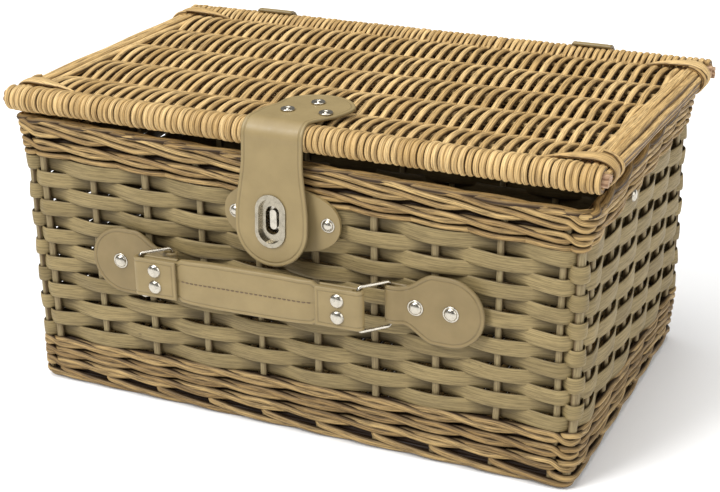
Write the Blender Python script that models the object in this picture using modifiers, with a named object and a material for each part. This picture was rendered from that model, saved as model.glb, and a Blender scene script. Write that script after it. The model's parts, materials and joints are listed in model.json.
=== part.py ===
"""Willow hamper: a woven body, a hinged woven lid, a hasp with a turn lock, and a leather handle on rings.

Metres, +Z up. The front faces -Y and +X is the right of someone facing it. Every piece is modelled in the
basket's own frame, whose origin is on the ground in the middle of the four walls. The empty "basket" then
moves all of them along Y, so that the world's origin is under the middle of the whole object's bounding box.
"""

import math

import bmesh
import bpy
from mathutils import Matrix, Vector

GAP = 0.0003  # between pieces that touch on the real basket

# Body of the basket
FOOT_WIDTH = 0.392
WALL_DEPTH = 0.236
WALL = 0.009
RIM_TOP = 0.1925
RIM_FLARE = 0.004  # how far each end wall leans out between the weave's top and the rim's
SETTLE = 0.0095  # how far the rim's front right corner has sunk
LEFT_DROP = 0.0105  # how much lower the lower waling's top is at the left end wall than at the right one
CORNER_RADIUS = 0.012
FOOT_TOP = 0.0125
LOWER_WALE_TOP = 0.043
WEAVE_TOP = 0.166
UPPER_WALE_TOP = 0.179
COURSE_GAP = 0.0004
BASE_LOW = 0.005
BASE_TOP = 0.015
POST_RADIUS = 0.0042
POST_INSET = 0.0055
POST_ROOM = 0.0125  # each wall panel stops this far from the corner
STAY_RIVET_Y = -0.030
STAY_RIVET_Z = 0.169  # before the rim settles

# Lid
LID_WIDTH = 0.410
LID_DEPTH = 0.243
ROLL_RADIUS = 0.0085
ROLL_Z = 0.203
CORNER_WRAP_RADIUS = 0.009
ROLL_HALF_LENGTH = 0.176
LID_PANEL_HALF_THICKNESS = 0.0065
LID_END_WIDTH = 0.016
LID_END_OUTER = 0.202
LID_END_HALF_THICKNESS = 0.007
LID_END_ROUNDING = 0.003
ROLL_Y = LID_DEPTH / 2 - ROLL_RADIUS
LID_PANEL_HALF_DEPTH = ROLL_Y - CORNER_WRAP_RADIUS - COURSE_GAP

# Leather and rivets
LEATHER = 0.0022
STRAP_OVER_ROLL = ROLL_RADIUS + GAP + LEATHER / 2  # radius of a strap's middle as it goes round a roll
STRAP_TOP_Z = ROLL_Z + STRAP_OVER_ROLL
RIVET_HEAD_RADIUS = 0.0045
RIVET_HEAD = 0.0018
RIVET_SHANK_RADIUS = 0.0016
RIVET_HOLE_RADIUS = 0.0019
RIVET_SEAT = 0.0001  # air under a rivet's head
DRILL_LENGTH = 0.012
HINGE_SLIT = 0.002  # a strap stops this far each side of the line it bends on

# Leather hinges at the back
HINGE_X = 0.124
HINGE_HALF_WIDTH = 0.014
LID_PIVOT = Vector((0, 0.1204, 0.1935))
HINGE_START_DEGREES = 104  # the upper leaf is tucked in here, a little in front of the roll's top
HINGE_LEAVE_DEGREES = -15  # and leaves the roll here, under its back
HINGE_LOW_Z = 0.138
HINGE_LOW_RIVETS_Z = (0.176, 0.152)
HINGE_EASE = 0.008  # the lower leaf comes up to the wall over this height, under the slit
HINGE_EASE_OUT = 0.0005
BACK_STRAP_Y = WALL_DEPTH / 2 + GAP + LEATHER / 2

# Hasp and turn lock at the front
HASP_X = -0.0025
HASP_HALF_WIDTH = 0.021
HASP_PIVOT = Vector((HASP_X, -ROLL_Y - STRAP_OVER_ROLL, 0.202))
HASP_HANG = math.radians(4.8)  # the tongue hangs this far out of the vertical, clear of the turn button
HASP_LENGTH = 0.080
TONGUE_HALF_WIDTH = 0.025
TONGUE_WIDENS = (0.010, 0.050)  # between these distances under the pivot
EYELET_DROP = 0.0505
HEAD_X = 0.008
HEAD_HALF_WIDTH = 0.0265
HEAD_BACK = -0.061
HEAD_NARROWS_Y = -0.088  # the head gets narrower from here to the roll
HEAD_MOVES_Y = -0.082  # and moves across to the tongue's line from here
HEAD_RIVETS = ((-0.004, -0.098), (0.0075, -0.079), (0.021, -0.096))
EYELET_SLOT = (0.0094, 0.0184)
EYELET_BOWL = (0.0164, 0.0284)
EYELET_METAL = 0.0006
EYELET_FLANGE = (0.0046, 0.0056)  # how much wider and higher the flange is than the bowl
LOCK_Z = HASP_PIVOT.z - EYELET_DROP * math.cos(HASP_HANG)
LOCK_PLATE = 0.0008
LOCK_PLATE_SIZE = (0.014, 0.020)
BACKPLATE_X = 0.001
BACKPLATE_SIZE = (0.080, 0.042)
BACKPLATE_RIVET_X = 0.0318
BACKPLATE_FRONT = -WALL_DEPTH / 2 - GAP - LEATHER
BUTTON_BAR = (0.0046, 0.013)
BUTTON_BAR_THICKNESS = 0.0016
BUTTON_BAR_BACK = -0.1231
BUTTON_SHANK_RADIUS = 0.0019
BUTTON_CLEARANCE = 0.0004

# Handle, its rings and its tabs
RING_X = {"left": -0.079, "right": 0.075}
RING_Z = {"left": 0.104, "right": 0.108}
TAB_Z = {"left": 0.1035, "right": 0.1085}
HANDLE_END_Z = {"left": 0.1044, "right": 0.108}
RING_WIRE = 0.00105
RING_REACH = 0.0215  # between the middles of a ring's two upright bars
RING_HEIGHT = 0.030  # between the middles of its level bars
RING_CORNER = 0.002
RING_ANGLE = math.radians(228)  # which way both rings point at rest, seen from above
FOLD_RADIUS = RING_WIRE + 0.00055 + LEATHER / 2
RING_Y = -WALL_DEPTH / 2 - GAP - LEATHER / 2 - FOLD_RADIUS
TAB_LENGTH = 0.061
TAB_NECK_HALF_WIDTH = 0.01275
TAB_HALF_WIDTH = 0.023
TAB_FRONT_Y = -WALL_DEPTH / 2 - 2 * GAP - 1.5 * LEATHER
TAB_RIVETS = (0.0165, 0.0395)
TAB_BULGE = 0.0115  # the tab's front leaves the wall this far from the ring's bar, to pass round it
TAB_SHOULDER = (0.007, 0.028)  # the tab widens between these distances from the ring's bar
TAB_RETURN = 0.015  # how far its end runs back behind it
HANDLE_END_HALF_WIDTH = 0.01325
HANDLE_END_LENGTH = 0.028
HANDLE_HALF_WIDTH = 0.0152
HANDLE_MOUTH_HALF_WIDTH = 0.0148  # where the strap comes out of its folded ends
HANDLE_TUCK = 0.0006  # inside them the strap is narrower than they are, by this much each side
HANDLE_CUT = 0.0035  # from a ring's bar to the strap's cut end
HANDLE_SWELL = 0.040  # the strap is at its full thickness this far from a ring's bar
HANDLE_THIN = 0.0026
HANDLE_THICK = 0.0050
HANDLE_RIVET_INSET = 0.0125
HANDLE_RIVET_SPACING = 0.0110

SWING = Vector((math.cos(RING_ANGLE), math.sin(RING_ANGLE), 0)) * RING_REACH
HANDLE_Y = RING_Y + SWING.y
FRONT_REACH = -HANDLE_Y + FOLD_RADIUS + LEATHER / 2 + RIVET_SEAT + RIVET_HEAD
BACK_REACH = ROLL_Y + STRAP_OVER_ROLL + LEATHER / 2
BASKET_Y = (FRONT_REACH - BACK_REACH) / 2


# ---------------------------------------------------------------- scene and materials


def clear_scene():
    for obj in list(bpy.data.objects):
        bpy.data.objects.remove(obj, do_unlink=True)


def collection(name):
    made = bpy.data.collections.new(name)
    bpy.context.scene.collection.children.link(made)
    return made


def material(name, colour, roughness, metallic=0.0):
    made = bpy.data.materials.new(name)
    made.use_nodes = True
    shader = made.node_tree.nodes["Principled BSDF"]
    shader.inputs["Base Color"].default_value = (*colour, 1)
    shader.inputs["Roughness"].default_value = roughness
    shader.inputs["Metallic"].default_value = metallic
    return made


clear_scene()
BASKET = collection("willow_hamper")
CUTTERS = collection("cutters")
SPLIT_WILLOW = material("split_willow", (0.30, 0.25, 0.15), 0.6)
BUFF_WILLOW = material("buff_willow", (0.50, 0.36, 0.18), 0.5)
HIDE = material("leather", (0.39, 0.32, 0.18), 0.45)
NICKEL = material("nickel", (0.72, 0.70, 0.64), 0.25, 1.0)


def pivot(name, place, parent=None):
    """An empty on a joint's axis, or at the basket's own origin."""
    empty = bpy.data.objects.new(name, None)
    BASKET.objects.link(empty)
    empty["place"] = place
    empty.parent = parent
    empty.location = place - (Vector(parent["place"]) if parent else Vector())
    return empty


def hang_on(obj, empty):
    """Parents an object that was modelled in the basket's frame, and leaves it where it is."""
    obj.parent = empty
    obj.matrix_parent_inverse = Matrix.Translation(-Vector(empty["place"]))
    return obj


def new_object(name, mesh, look, empty):
    obj = bpy.data.objects.new(name, mesh)
    BASKET.objects.link(obj)
    mesh.materials.clear()
    mesh.materials.append(look)
    return hang_on(obj, empty)


def mesh_of(name, bm, sharp_degrees=35):
    bmesh.ops.recalc_face_normals(bm, faces=bm.faces)
    mesh = bpy.data.meshes.new(name)
    bm.to_mesh(mesh)
    bm.free()
    mesh.shade_smooth()
    mesh.set_sharp_from_angle(angle=math.radians(sharp_degrees))
    return mesh


# ---------------------------------------------------------------- shapes


def smoothstep(low, high, value):
    t = min(1.0, max(0.0, (value - low) / (high - low)))
    return t * t * (3 - 2 * t)


def spread(low, high, count):
    """Evenly spaced values, both ends included."""
    return [low + (high - low) * i / (count - 1) for i in range(count)]


def rounded_rectangle(half_x, half_y, radius, steps=5):
    points = []
    for quarter, (sx, sy) in enumerate(((1, 1), (-1, 1), (-1, -1), (1, -1))):
        for i in range(steps + 1):
            angle = math.radians(90 * (quarter + i / steps))
            points.append((sx * (half_x - radius) + radius * math.cos(angle),
                           sy * (half_y - radius) + radius * math.sin(angle)))
    return points


def stadium(width, height, count=24):
    """A slot outline with round ends, its long side along the second coordinate."""
    radius = width / 2
    straight = height / 2 - radius
    points = []
    for i in range(count):
        angle = 2 * math.pi * (i + 0.5) / count
        along = radius * math.sin(angle)
        points.append((radius * math.cos(angle), along + math.copysign(straight, along)))
    return points


def oval(width, height, power=2.3, count=36):
    points = []
    for i in range(count):
        angle = 2 * math.pi * i / count
        across, along = math.cos(angle), math.sin(angle)
        points.append((math.copysign(abs(across) ** (2 / power), across) * width / 2,
                       math.copysign(abs(along) ** (2 / power), along) * height / 2))
    return points


def flat_plate(name, outlines, thickness):
    """A mesh cut from flat stock in the XY plane, centred on it. The outlines after the first are holes."""
    data = bpy.data.curves.new(name, "CURVE")
    data.dimensions = "2D"
    data.fill_mode = "BOTH"
    data.extrude = thickness / 2
    for outline in outlines:
        spline = data.splines.new("POLY")
        spline.points.add(len(outline) - 1)
        for point, (x, y) in zip(spline.points, outline):
            point.co = (x, y, 0, 1)
        spline.use_cyclic_u = True
    curve = bpy.data.objects.new(name, data)
    BASKET.objects.link(curve)
    bpy.context.view_layer.update()
    bm = bmesh.new()
    flat = bpy.data.meshes.new_from_object(curve.evaluated_get(bpy.context.evaluated_depsgraph_get()))
    bm.from_mesh(flat)
    bmesh.ops.remove_doubles(bm, verts=bm.verts, dist=1e-6)
    bpy.data.meshes.remove(flat)
    bpy.data.objects.remove(curve)
    return bm


def stand_up(bm, place):
    """Turns a flat plate so that its face looks along -Y, and puts its middle at place."""
    turn = Matrix.Rotation(math.pi / 2, 4, "X")
    bmesh.ops.transform(bm, matrix=Matrix.Translation(place) @ turn, verts=bm.verts)
    return bm


def loft(loops, closed=False):
    """Joins loops of equally many points, in order. A closed loft runs back to its first loop."""
    bm = bmesh.new()
    rings = [[bm.verts.new(point) for point in loop] for loop in loops]
    pairs = list(zip(rings, rings[1:]))
    if closed:
        pairs.append((rings[-1], rings[0]))
    else:
        bm.faces.new(rings[0])
        bm.faces.new(rings[-1])
    for low, high in pairs:
        for i in range(len(low)):
            j = (i + 1) % len(low)
            bm.faces.new((low[i], low[j], high[j], high[i]))
    return bm


def strap(path, half_widths, thicknesses, across, offsets=None):
    """A strip of leather. Its middle follows path, and its width lies along the unit vector across."""
    offsets = offsets or [0.0] * len(path)
    loops = []
    for i, point in enumerate(path):
        ahead = path[min(i + 1, len(path) - 1)] - path[max(i - 1, 0)]
        outward = ahead.normalized().cross(across) * (thicknesses[i] / 2)
        middle = point + across * offsets[i]
        side = across * half_widths[i]
        loops.append([middle + side + outward, middle + side - outward,
                      middle - side - outward, middle - side + outward])
    return loft(loops)


def side_view(y, z):
    return Vector((0, y, z))


def arc(centre, radius, start_degrees, end_degrees, count, plane):
    """Points along an arc. plane turns its two coordinates into a place."""
    angles = [math.radians(degrees) for degrees in spread(start_degrees, end_degrees, count)]
    return [plane(centre[0] + radius * math.cos(a), centre[1] + radius * math.sin(a)) for a in angles]


def round_end(radius, distance):
    """Half the width of a strip with a round end, this far from the end."""
    if distance >= radius:
        return radius
    return max(0.25 * radius, math.sqrt(radius * radius - (radius - distance) ** 2))


def rod(radius, length, axis, place, segments):
    bm = bmesh.new()
    bmesh.ops.create_cone(bm, cap_ends=True, segments=segments, radius1=radius, radius2=radius, depth=length)
    turn = Vector((0, 0, 1)).rotation_difference(axis).to_matrix().to_4x4()
    bmesh.ops.transform(bm, matrix=Matrix.Translation(place) @ turn, verts=bm.verts)
    return bm


def block(low, high):
    bm = bmesh.new()
    bmesh.ops.create_cube(bm, size=1)
    size = Vector(high) - Vector(low)
    middle = (Vector(high) + Vector(low)) / 2
    bmesh.ops.transform(bm, matrix=Matrix.Translation(middle) @ Matrix.Diagonal((*size, 1)), verts=bm.verts)
    return bm


def drill(targets, places, direction, length=DRILL_LENGTH, radius=RIVET_HOLE_RADIUS, segments=12):
    """Cuts one hole in each target at each place, with one cutter that holds all of them."""
    bm = bmesh.new()
    turn = Vector((0, 0, 1)).rotation_difference(direction).to_matrix().to_4x4()
    for place in places:
        bmesh.ops.create_cone(bm, cap_ends=True, segments=segments, radius1=radius, radius2=radius,
                              depth=length, matrix=Matrix.Translation(place) @ turn)
    mesh = mesh_of("cutter", bm)
    cutter = bpy.data.objects.new(targets[0].name + "_cutter", mesh)
    CUTTERS.objects.link(cutter)
    hang_on(cutter, targets[0].parent)
    cutter.hide_render = True
    cutter.display_type = "WIRE"
    for target in targets:
        cut = target.modifiers.new("rivet_holes", "BOOLEAN")
        cut.operation = "DIFFERENCE"
        cut.object = cutter


def rivet(name, seat, outward, shank, empty):
    """A domed rivet. seat is the middle of the face it is on, and shank its length under that face."""
    profile = [(0, RIVET_HEAD), (0.62 * RIVET_HEAD_RADIUS, 0.65 * RIVET_HEAD), (RIVET_HEAD_RADIUS, 0)]
    if shank:
        profile += [(RIVET_SHANK_RADIUS, 0), (RIVET_SHANK_RADIUS, -shank), (0, -shank)]
    else:
        profile += [(0, 0)]
    mesh = bpy.data.meshes.new(name)
    mesh.from_pydata([(r, 0, z) for r, z in profile], [(i, i + 1) for i in range(len(profile) - 1)], [])
    obj = new_object(name, mesh, NICKEL, empty)
    turned = obj.modifiers.new("turned", "SCREW")
    turned.steps = turned.render_steps = 12
    turned.use_merge_vertices = True
    turned.merge_threshold = 1e-5
    turned.use_smooth_shade = True
    obj.location = Vector(seat) + Vector(outward) * RIVET_SEAT
    obj.rotation_mode = "QUATERNION"
    obj.rotation_quaternion = Vector((0, 0, 1)).rotation_difference(Vector(outward))
    return obj


# ---------------------------------------------------------------- body


def flare(z):
    """How far out of the vertical the end walls are at a height."""
    return RIM_FLARE * max(0, z - WEAVE_TOP) / (RIM_TOP - WEAVE_TOP)


def settled(x, y, z):
    """The height of a point of the body once it is out of true.

    The waling gets lower towards the left, and the rim has sunk towards its front right corner.
    """
    to_right = x / FOOT_WIDTH + 0.5
    to_front = 0.5 - y / WALL_DEPTH
    near_waling = min(z / LOWER_WALE_TOP, max(0, WEAVE_TOP - z) / (WEAVE_TOP - LOWER_WALE_TOP))
    return z - LEFT_DROP * near_waling * (1 - to_right) - SETTLE * z / RIM_TOP * to_right * to_front


def flare_and_settle(bm):
    for vert in bm.verts:
        x, y, z = vert.co
        vert.co.x = x + math.copysign(flare(z), x)
        vert.co.z = settled(x, y, z)
    return bm


def wall_course(name, low, high, look, empty):
    """A ring of the wall that runs round all four sides."""
    half_x, half_y = FOOT_WIDTH / 2, WALL_DEPTH / 2
    outlines = [rounded_rectangle(half_x, half_y, CORNER_RADIUS),
                rounded_rectangle(half_x - WALL, half_y - WALL, CORNER_RADIUS - WALL / 2)]
    bm = flat_plate(name, outlines, high - low)
    bmesh.ops.translate(bm, vec=(0, 0, (low + high) / 2), verts=bm.verts)
    return new_object(name, mesh_of(name, flare_and_settle(bm)), look, empty)


def make_base(empty):
    inset = WALL + 2 * GAP
    outline = rounded_rectangle(FOOT_WIDTH / 2 - inset, WALL_DEPTH / 2 - inset, CORNER_RADIUS - WALL / 2)
    bm = flat_plate("base_panel", [outline], BASE_TOP - BASE_LOW)
    bmesh.ops.translate(bm, vec=(0, 0, (BASE_TOP + BASE_LOW) / 2), verts=bm.verts)
    new_object("base_panel", mesh_of("base_panel", bm), SPLIT_WILLOW, empty)


def make_walls(empty):
    wall_course("foot_border", 0, FOOT_TOP, BUFF_WILLOW, empty)
    wall_course("lower_waling", FOOT_TOP + COURSE_GAP, LOWER_WALE_TOP, BUFF_WILLOW, empty)
    wall_course("upper_waling", WEAVE_TOP, UPPER_WALE_TOP - COURSE_GAP, BUFF_WILLOW, empty)
    wall_course("rim_border", UPPER_WALE_TOP, RIM_TOP, BUFF_WILLOW, empty)
    low, high = LOWER_WALE_TOP + COURSE_GAP, WEAVE_TOP - COURSE_GAP
    half_x, half_y = FOOT_WIDTH / 2, WALL_DEPTH / 2
    long_half, short_half = half_x - POST_ROOM, half_y - POST_ROOM
    panels = {
        "front_weave": ((-long_half, -half_y, low), (long_half, -half_y + WALL, high)),
        "back_weave": ((-long_half, half_y - WALL, low), (long_half, half_y, high)),
        "left_weave": ((-half_x, -short_half, low), (-half_x + WALL, short_half, high)),
        "right_weave": ((half_x - WALL, -short_half, low), (half_x, short_half, high)),
    }
    for name, (corner_low, corner_high) in panels.items():
        bm = flare_and_settle(block(corner_low, corner_high))
        new_object(name, mesh_of(name, bm), SPLIT_WILLOW, empty)
    for side, sx in (("left", -1), ("right", 1)):
        for face, sy in (("front", -1), ("back", 1)):
            name = f"corner_post_{face}_{side}"
            place = (sx * (half_x - POST_INSET), sy * (half_y - POST_INSET), (low + high) / 2)
            bm = flare_and_settle(rod(POST_RADIUS, high - low, Vector((0, 0, 1)), place, 10))
            new_object(name, mesh_of(name, bm), BUFF_WILLOW, empty)


def make_end_wall_rivet(empty):
    """The rivet of the lid's stay, on the right end wall. The wall flares, so it looks a little down."""
    lean = math.atan2(RIM_FLARE, RIM_TOP - WEAVE_TOP)
    outward = Vector((math.cos(lean), 0, -math.sin(lean)))
    wall_x = FOOT_WIDTH / 2
    height = settled(wall_x, STAY_RIVET_Y, STAY_RIVET_Z)
    seat = Vector((wall_x + flare(STAY_RIVET_Z), STAY_RIVET_Y, height)) + outward * GAP
    rivet("end_wall_rivet", seat, outward, 0, empty)


# ---------------------------------------------------------------- lid


def make_lid(empty):
    x_axis = Vector((1, 0, 0))
    panel_x = LID_END_OUTER - LID_END_WIDTH - COURSE_GAP
    half_y, half_z = LID_PANEL_HALF_DEPTH, LID_PANEL_HALF_THICKNESS
    panel = block((-panel_x, -half_y, ROLL_Z - half_z), (panel_x, half_y, ROLL_Z + half_z))
    new_object("lid_weave", mesh_of("lid_weave", panel), BUFF_WILLOW, empty)
    wrap_length = LID_WIDTH / 2 - ROLL_HALF_LENGTH - COURSE_GAP
    for face, sy in (("front", -1), ("back", 1)):
        name = f"lid_{face}_roll"
        roll = rod(ROLL_RADIUS, 2 * ROLL_HALF_LENGTH, x_axis, (0, sy * ROLL_Y, ROLL_Z), 16)
        new_object(name, mesh_of(name, roll), BUFF_WILLOW, empty)
        for side, sx in (("left", -1), ("right", 1)):
            name = f"lid_corner_wrap_{face}_{side}"
            place = (sx * (LID_WIDTH / 2 - wrap_length / 2), sy * ROLL_Y, ROLL_Z)
            wrap = rod(CORNER_WRAP_RADIUS, wrap_length, x_axis, place, 16)
            new_object(name, mesh_of(name, wrap), BUFF_WILLOW, empty)
    for side, sx in (("left", -1), ("right", 1)):
        name = f"lid_end_{side}"
        inner, outer = sorted((sx * (LID_END_OUTER - LID_END_WIDTH), sx * LID_END_OUTER))
        bar = block((inner, -half_y, ROLL_Z - LID_END_HALF_THICKNESS),
                    (outer, half_y, ROLL_Z + LID_END_HALF_THICKNESS))
        obj = new_object(name, mesh_of(name, bar), BUFF_WILLOW, empty)
        rounded = obj.modifiers.new("rounded", "BEVEL")
        rounded.width = LID_END_ROUNDING
        rounded.segments = 2


# ---------------------------------------------------------------- leather hinges


def make_hinges(body, lid):
    x_axis = Vector((1, 0, 0))
    leave = math.radians(HINGE_LEAVE_DEGREES)
    for side, sx in (("left", -1), ("right", 1)):
        offset = sx * HINGE_X
        over = arc((ROLL_Y, ROLL_Z), STRAP_OVER_ROLL, HINGE_START_DEGREES, HINGE_LEAVE_DEGREES, 10, side_view)
        path = over + [LID_PIVOT + Vector((0, -math.sin(leave), math.cos(leave))) * HINGE_SLIT]
        name = f"hinge_strap_upper_{side}"
        bm = strap(path, [HINGE_HALF_WIDTH] * len(path), [LEATHER] * len(path), x_axis, [offset] * len(path))
        new_object(name, mesh_of(name, bm), HIDE, lid)

        top = LID_PIVOT.z - HINGE_SLIT
        heights = [top, top - 0.45 * HINGE_EASE, top - HINGE_EASE]
        heights += [HINGE_LOW_Z + share * HINGE_HALF_WIDTH for share in (1, 0.43, 0.14, 0)]
        outs = [HINGE_EASE_OUT * smoothstep(top - HINGE_EASE, top, z) for z in heights]
        path = [side_view(BACK_STRAP_Y + out, z) for out, z in zip(outs, heights)]
        widths = [round_end(HINGE_HALF_WIDTH, z - HINGE_LOW_Z) for z in heights]
        name = f"hinge_strap_lower_{side}"
        bm = strap(path, widths, [LEATHER] * len(path), x_axis, [offset] * len(path))
        lower = new_object(name, mesh_of(name, bm), HIDE, body)
        seats = [Vector((offset, BACK_STRAP_Y + LEATHER / 2, z)) for z in HINGE_LOW_RIVETS_Z]
        drill([lower], seats, Vector((0, 1, 0)))
        for place, seat in zip(("top", "bottom"), seats):
            rivet(f"hinge_rivet_{place}_{side}", seat, (0, 1, 0), LEATHER, body)


# ---------------------------------------------------------------- hasp and turn lock


def make_hasp_head(lid):
    x_axis = Vector((1, 0, 0))
    length = -ROLL_Y - HEAD_BACK
    steps = [0, 0.03, 0.10, 0.22, 0.38, 0.54, 0.70, 0.86]
    flat = [side_view(HEAD_BACK + length * t, STRAP_TOP_Z) for t in steps]
    end_angle = 180 - math.degrees(math.asin((HASP_PIVOT.z + HINGE_SLIT - ROLL_Z) / STRAP_OVER_ROLL))
    over = arc((-ROLL_Y, ROLL_Z), STRAP_OVER_ROLL, 90, end_angle, 7, side_view)
    path = flat + over
    widths, offsets = [], []
    for point in path:
        head_share = smoothstep(-ROLL_Y, HEAD_NARROWS_Y, point.y)
        head_width = round_end(HEAD_HALF_WIDTH, HEAD_BACK - point.y)
        widths.append(HASP_HALF_WIDTH + (head_width - HASP_HALF_WIDTH) * head_share)
        offsets.append(HASP_X + (HEAD_X - HASP_X) * smoothstep(-ROLL_Y, HEAD_MOVES_Y, point.y))
    bm = strap(path, widths, [LEATHER] * len(path), x_axis, offsets)
    head = new_object("hasp_head", mesh_of("hasp_head", bm), HIDE, lid)
    seats = [Vector((x, y, STRAP_TOP_Z + LEATHER / 2)) for x, y in HEAD_RIVETS]
    drill([head], seats, Vector((0, 0, 1)))
    for name, seat in zip(("left", "back", "right"), seats):
        rivet(f"hasp_rivet_{name}", seat, (0, 0, 1), LEATHER, lid)


def along_tongue(drop, inward=0.0):
    """A place on the hanging tongue, this far under the hasp's pivot and this far towards the wall."""
    down = Vector((0, -math.sin(HASP_HANG), -math.cos(HASP_HANG)))
    to_wall = Vector((0, math.cos(HASP_HANG), -math.sin(HASP_HANG)))
    return HASP_PIVOT + down * drop + to_wall * inward


def make_hasp_tongue(hasp):
    drops = [HINGE_SLIT, 0.012, 0.024, 0.034, 0.044]
    drops += [HASP_LENGTH - share * TONGUE_HALF_WIDTH for share in (1, 0.68, 0.44, 0.24, 0.1, 0.028, 0)]
    path = [along_tongue(d) for d in drops]
    widths = []
    for d in drops:
        widened = HASP_HALF_WIDTH + (TONGUE_HALF_WIDTH - HASP_HALF_WIDTH) * smoothstep(*TONGUE_WIDENS, d)
        widths.append(min(widened, round_end(TONGUE_HALF_WIDTH, HASP_LENGTH - d)))
    bm = strap(path, widths, [LEATHER] * len(path), Vector((1, 0, 0)))
    tongue = new_object("hasp_tongue", mesh_of("hasp_tongue", bm), HIDE, hasp)

    bowl_w, bowl_h = EYELET_BOWL
    window = stadium(bowl_w + 2 * EYELET_METAL + 2 * GAP, bowl_h + 2 * EYELET_METAL + 2 * GAP)
    reach = 2 * LEATHER
    block_mesh = mesh_of("hasp_window", tongue_loft([(window, -reach), (window, reach)]))
    cutter = new_object("hasp_window", block_mesh, HIDE, hasp)
    BASKET.objects.unlink(cutter)
    CUTTERS.objects.link(cutter)
    cutter.hide_render = True
    cutter.display_type = "WIRE"
    cut = tongue.modifiers.new("window", "BOOLEAN")
    cut.operation = "DIFFERENCE"
    cut.object = cutter


def tongue_loft(sections, closed=False):
    """A loft through outlines that lie flat in the tongue, each with its depth towards the wall."""
    loops = []
    for outline, inward in sections:
        loops.append([along_tongue(EYELET_DROP - v, inward) + Vector((u, 0, 0)) for u, v in outline])
    return loft(loops, closed)


def make_eyelet(hasp):
    """An oval bowl let into the tongue, with a slot in its floor that passes the turn button's bar."""
    face = LEATHER / 2 + GAP
    bowl_w, bowl_h = EYELET_BOWL
    slot = stadium(*EYELET_SLOT)
    bowl = stadium(bowl_w, bowl_h)
    neck = stadium(bowl_w + 2 * EYELET_METAL, bowl_h + 2 * EYELET_METAL)
    flange = stadium(bowl_w + EYELET_FLANGE[0], bowl_h + EYELET_FLANGE[1])
    floor = face - EYELET_METAL / 3
    sections = [(slot, face + EYELET_METAL), (slot, floor), (bowl, floor), (bowl, -face - EYELET_METAL),
                (flange, -face - EYELET_METAL), (flange, -face), (neck, -face), (neck, face), (flange, face),
                (flange, face + EYELET_METAL)]
    new_object("hasp_eyelet", mesh_of("hasp_eyelet", tongue_loft(sections, closed=True)), NICKEL, hasp)


def make_lock(body, button):
    front = -Vector((0, 1, 0))
    middle = Vector((BACKPLATE_X, BACKPLATE_FRONT + LEATHER / 2, LOCK_Z))
    plate = stand_up(flat_plate("lock_backplate", [oval(*BACKPLATE_SIZE)], LEATHER), middle)
    backplate = new_object("lock_backplate", mesh_of("lock_backplate", plate), HIDE, body)
    seats = [Vector((BACKPLATE_X + sx * BACKPLATE_RIVET_X, BACKPLATE_FRONT, LOCK_Z)) for sx in (-1, 1)]
    drill([backplate], seats, front)
    for side, seat in zip(("left", "right"), seats):
        rivet(f"backplate_rivet_{side}", seat, front, LEATHER, body)

    shank_hole = BUTTON_SHANK_RADIUS + BUTTON_CLEARANCE
    centre = Vector((HASP_X, BACKPLATE_FRONT - GAP - LOCK_PLATE / 2, LOCK_Z))
    base = stand_up(flat_plate("lock_base", [stadium(*LOCK_PLATE_SIZE)], LOCK_PLATE), centre)
    lock_base = new_object("lock_base", mesh_of("lock_base", base), NICKEL, body)
    drill([backplate, lock_base], [centre], front, radius=shank_hole, segments=16)

    bar = stadium(*BUTTON_BAR, count=16)
    shank = stadium(2 * BUTTON_SHANK_RADIUS, 2 * BUTTON_SHANK_RADIUS + 1e-5, count=16)
    sections = [(shank, BACKPLATE_FRONT + LEATHER - GAP), (shank, BUTTON_BAR_BACK), (bar, BUTTON_BAR_BACK),
                (bar, BUTTON_BAR_BACK - BUTTON_BAR_THICKNESS)]
    loops = [[Vector((HASP_X + u, y, LOCK_Z + v)) for u, v in outline] for outline, y in sections]
    new_object("turn_button", mesh_of("turn_button", loft(loops)), NICKEL, button)


# ---------------------------------------------------------------- handle


def ring_outline():
    """A ring's wire, as distances from its fixed bar and from its middle height."""
    half_height = RING_HEIGHT / 2
    points = []
    corners = ((RING_REACH, half_height, 0), (0, half_height, 90), (0, -half_height, 180),
               (RING_REACH, -half_height, 270))
    for u, v, start in corners:
        inner_u = u - math.copysign(RING_CORNER, u - RING_REACH / 2)
        inner_v = v - math.copysign(RING_CORNER, v)
        for degrees in spread(start, start + 90, 4):
            angle = math.radians(degrees)
            points.append((inner_u + RING_CORNER * math.cos(angle), inner_v + RING_CORNER * math.sin(angle)))
    return points


def make_ring(side, empty):
    name = f"handle_ring_{side}"
    data = bpy.data.curves.new(name, "CURVE")
    data.dimensions = "3D"
    data.bevel_depth = RING_WIRE
    data.bevel_resolution = 2
    spline = data.splines.new("POLY")
    outline = ring_outline()
    spline.points.add(len(outline) - 1)
    direction = SWING.normalized()
    for point, (u, v) in zip(spline.points, outline):
        point.co = (RING_X[side] + direction.x * u, RING_Y + direction.y * u, RING_Z[side] + v, 1)
    spline.use_cyclic_u = True
    obj = bpy.data.objects.new(name, data)
    BASKET.objects.link(obj)
    data.materials.append(NICKEL)
    hang_on(obj, empty)


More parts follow.
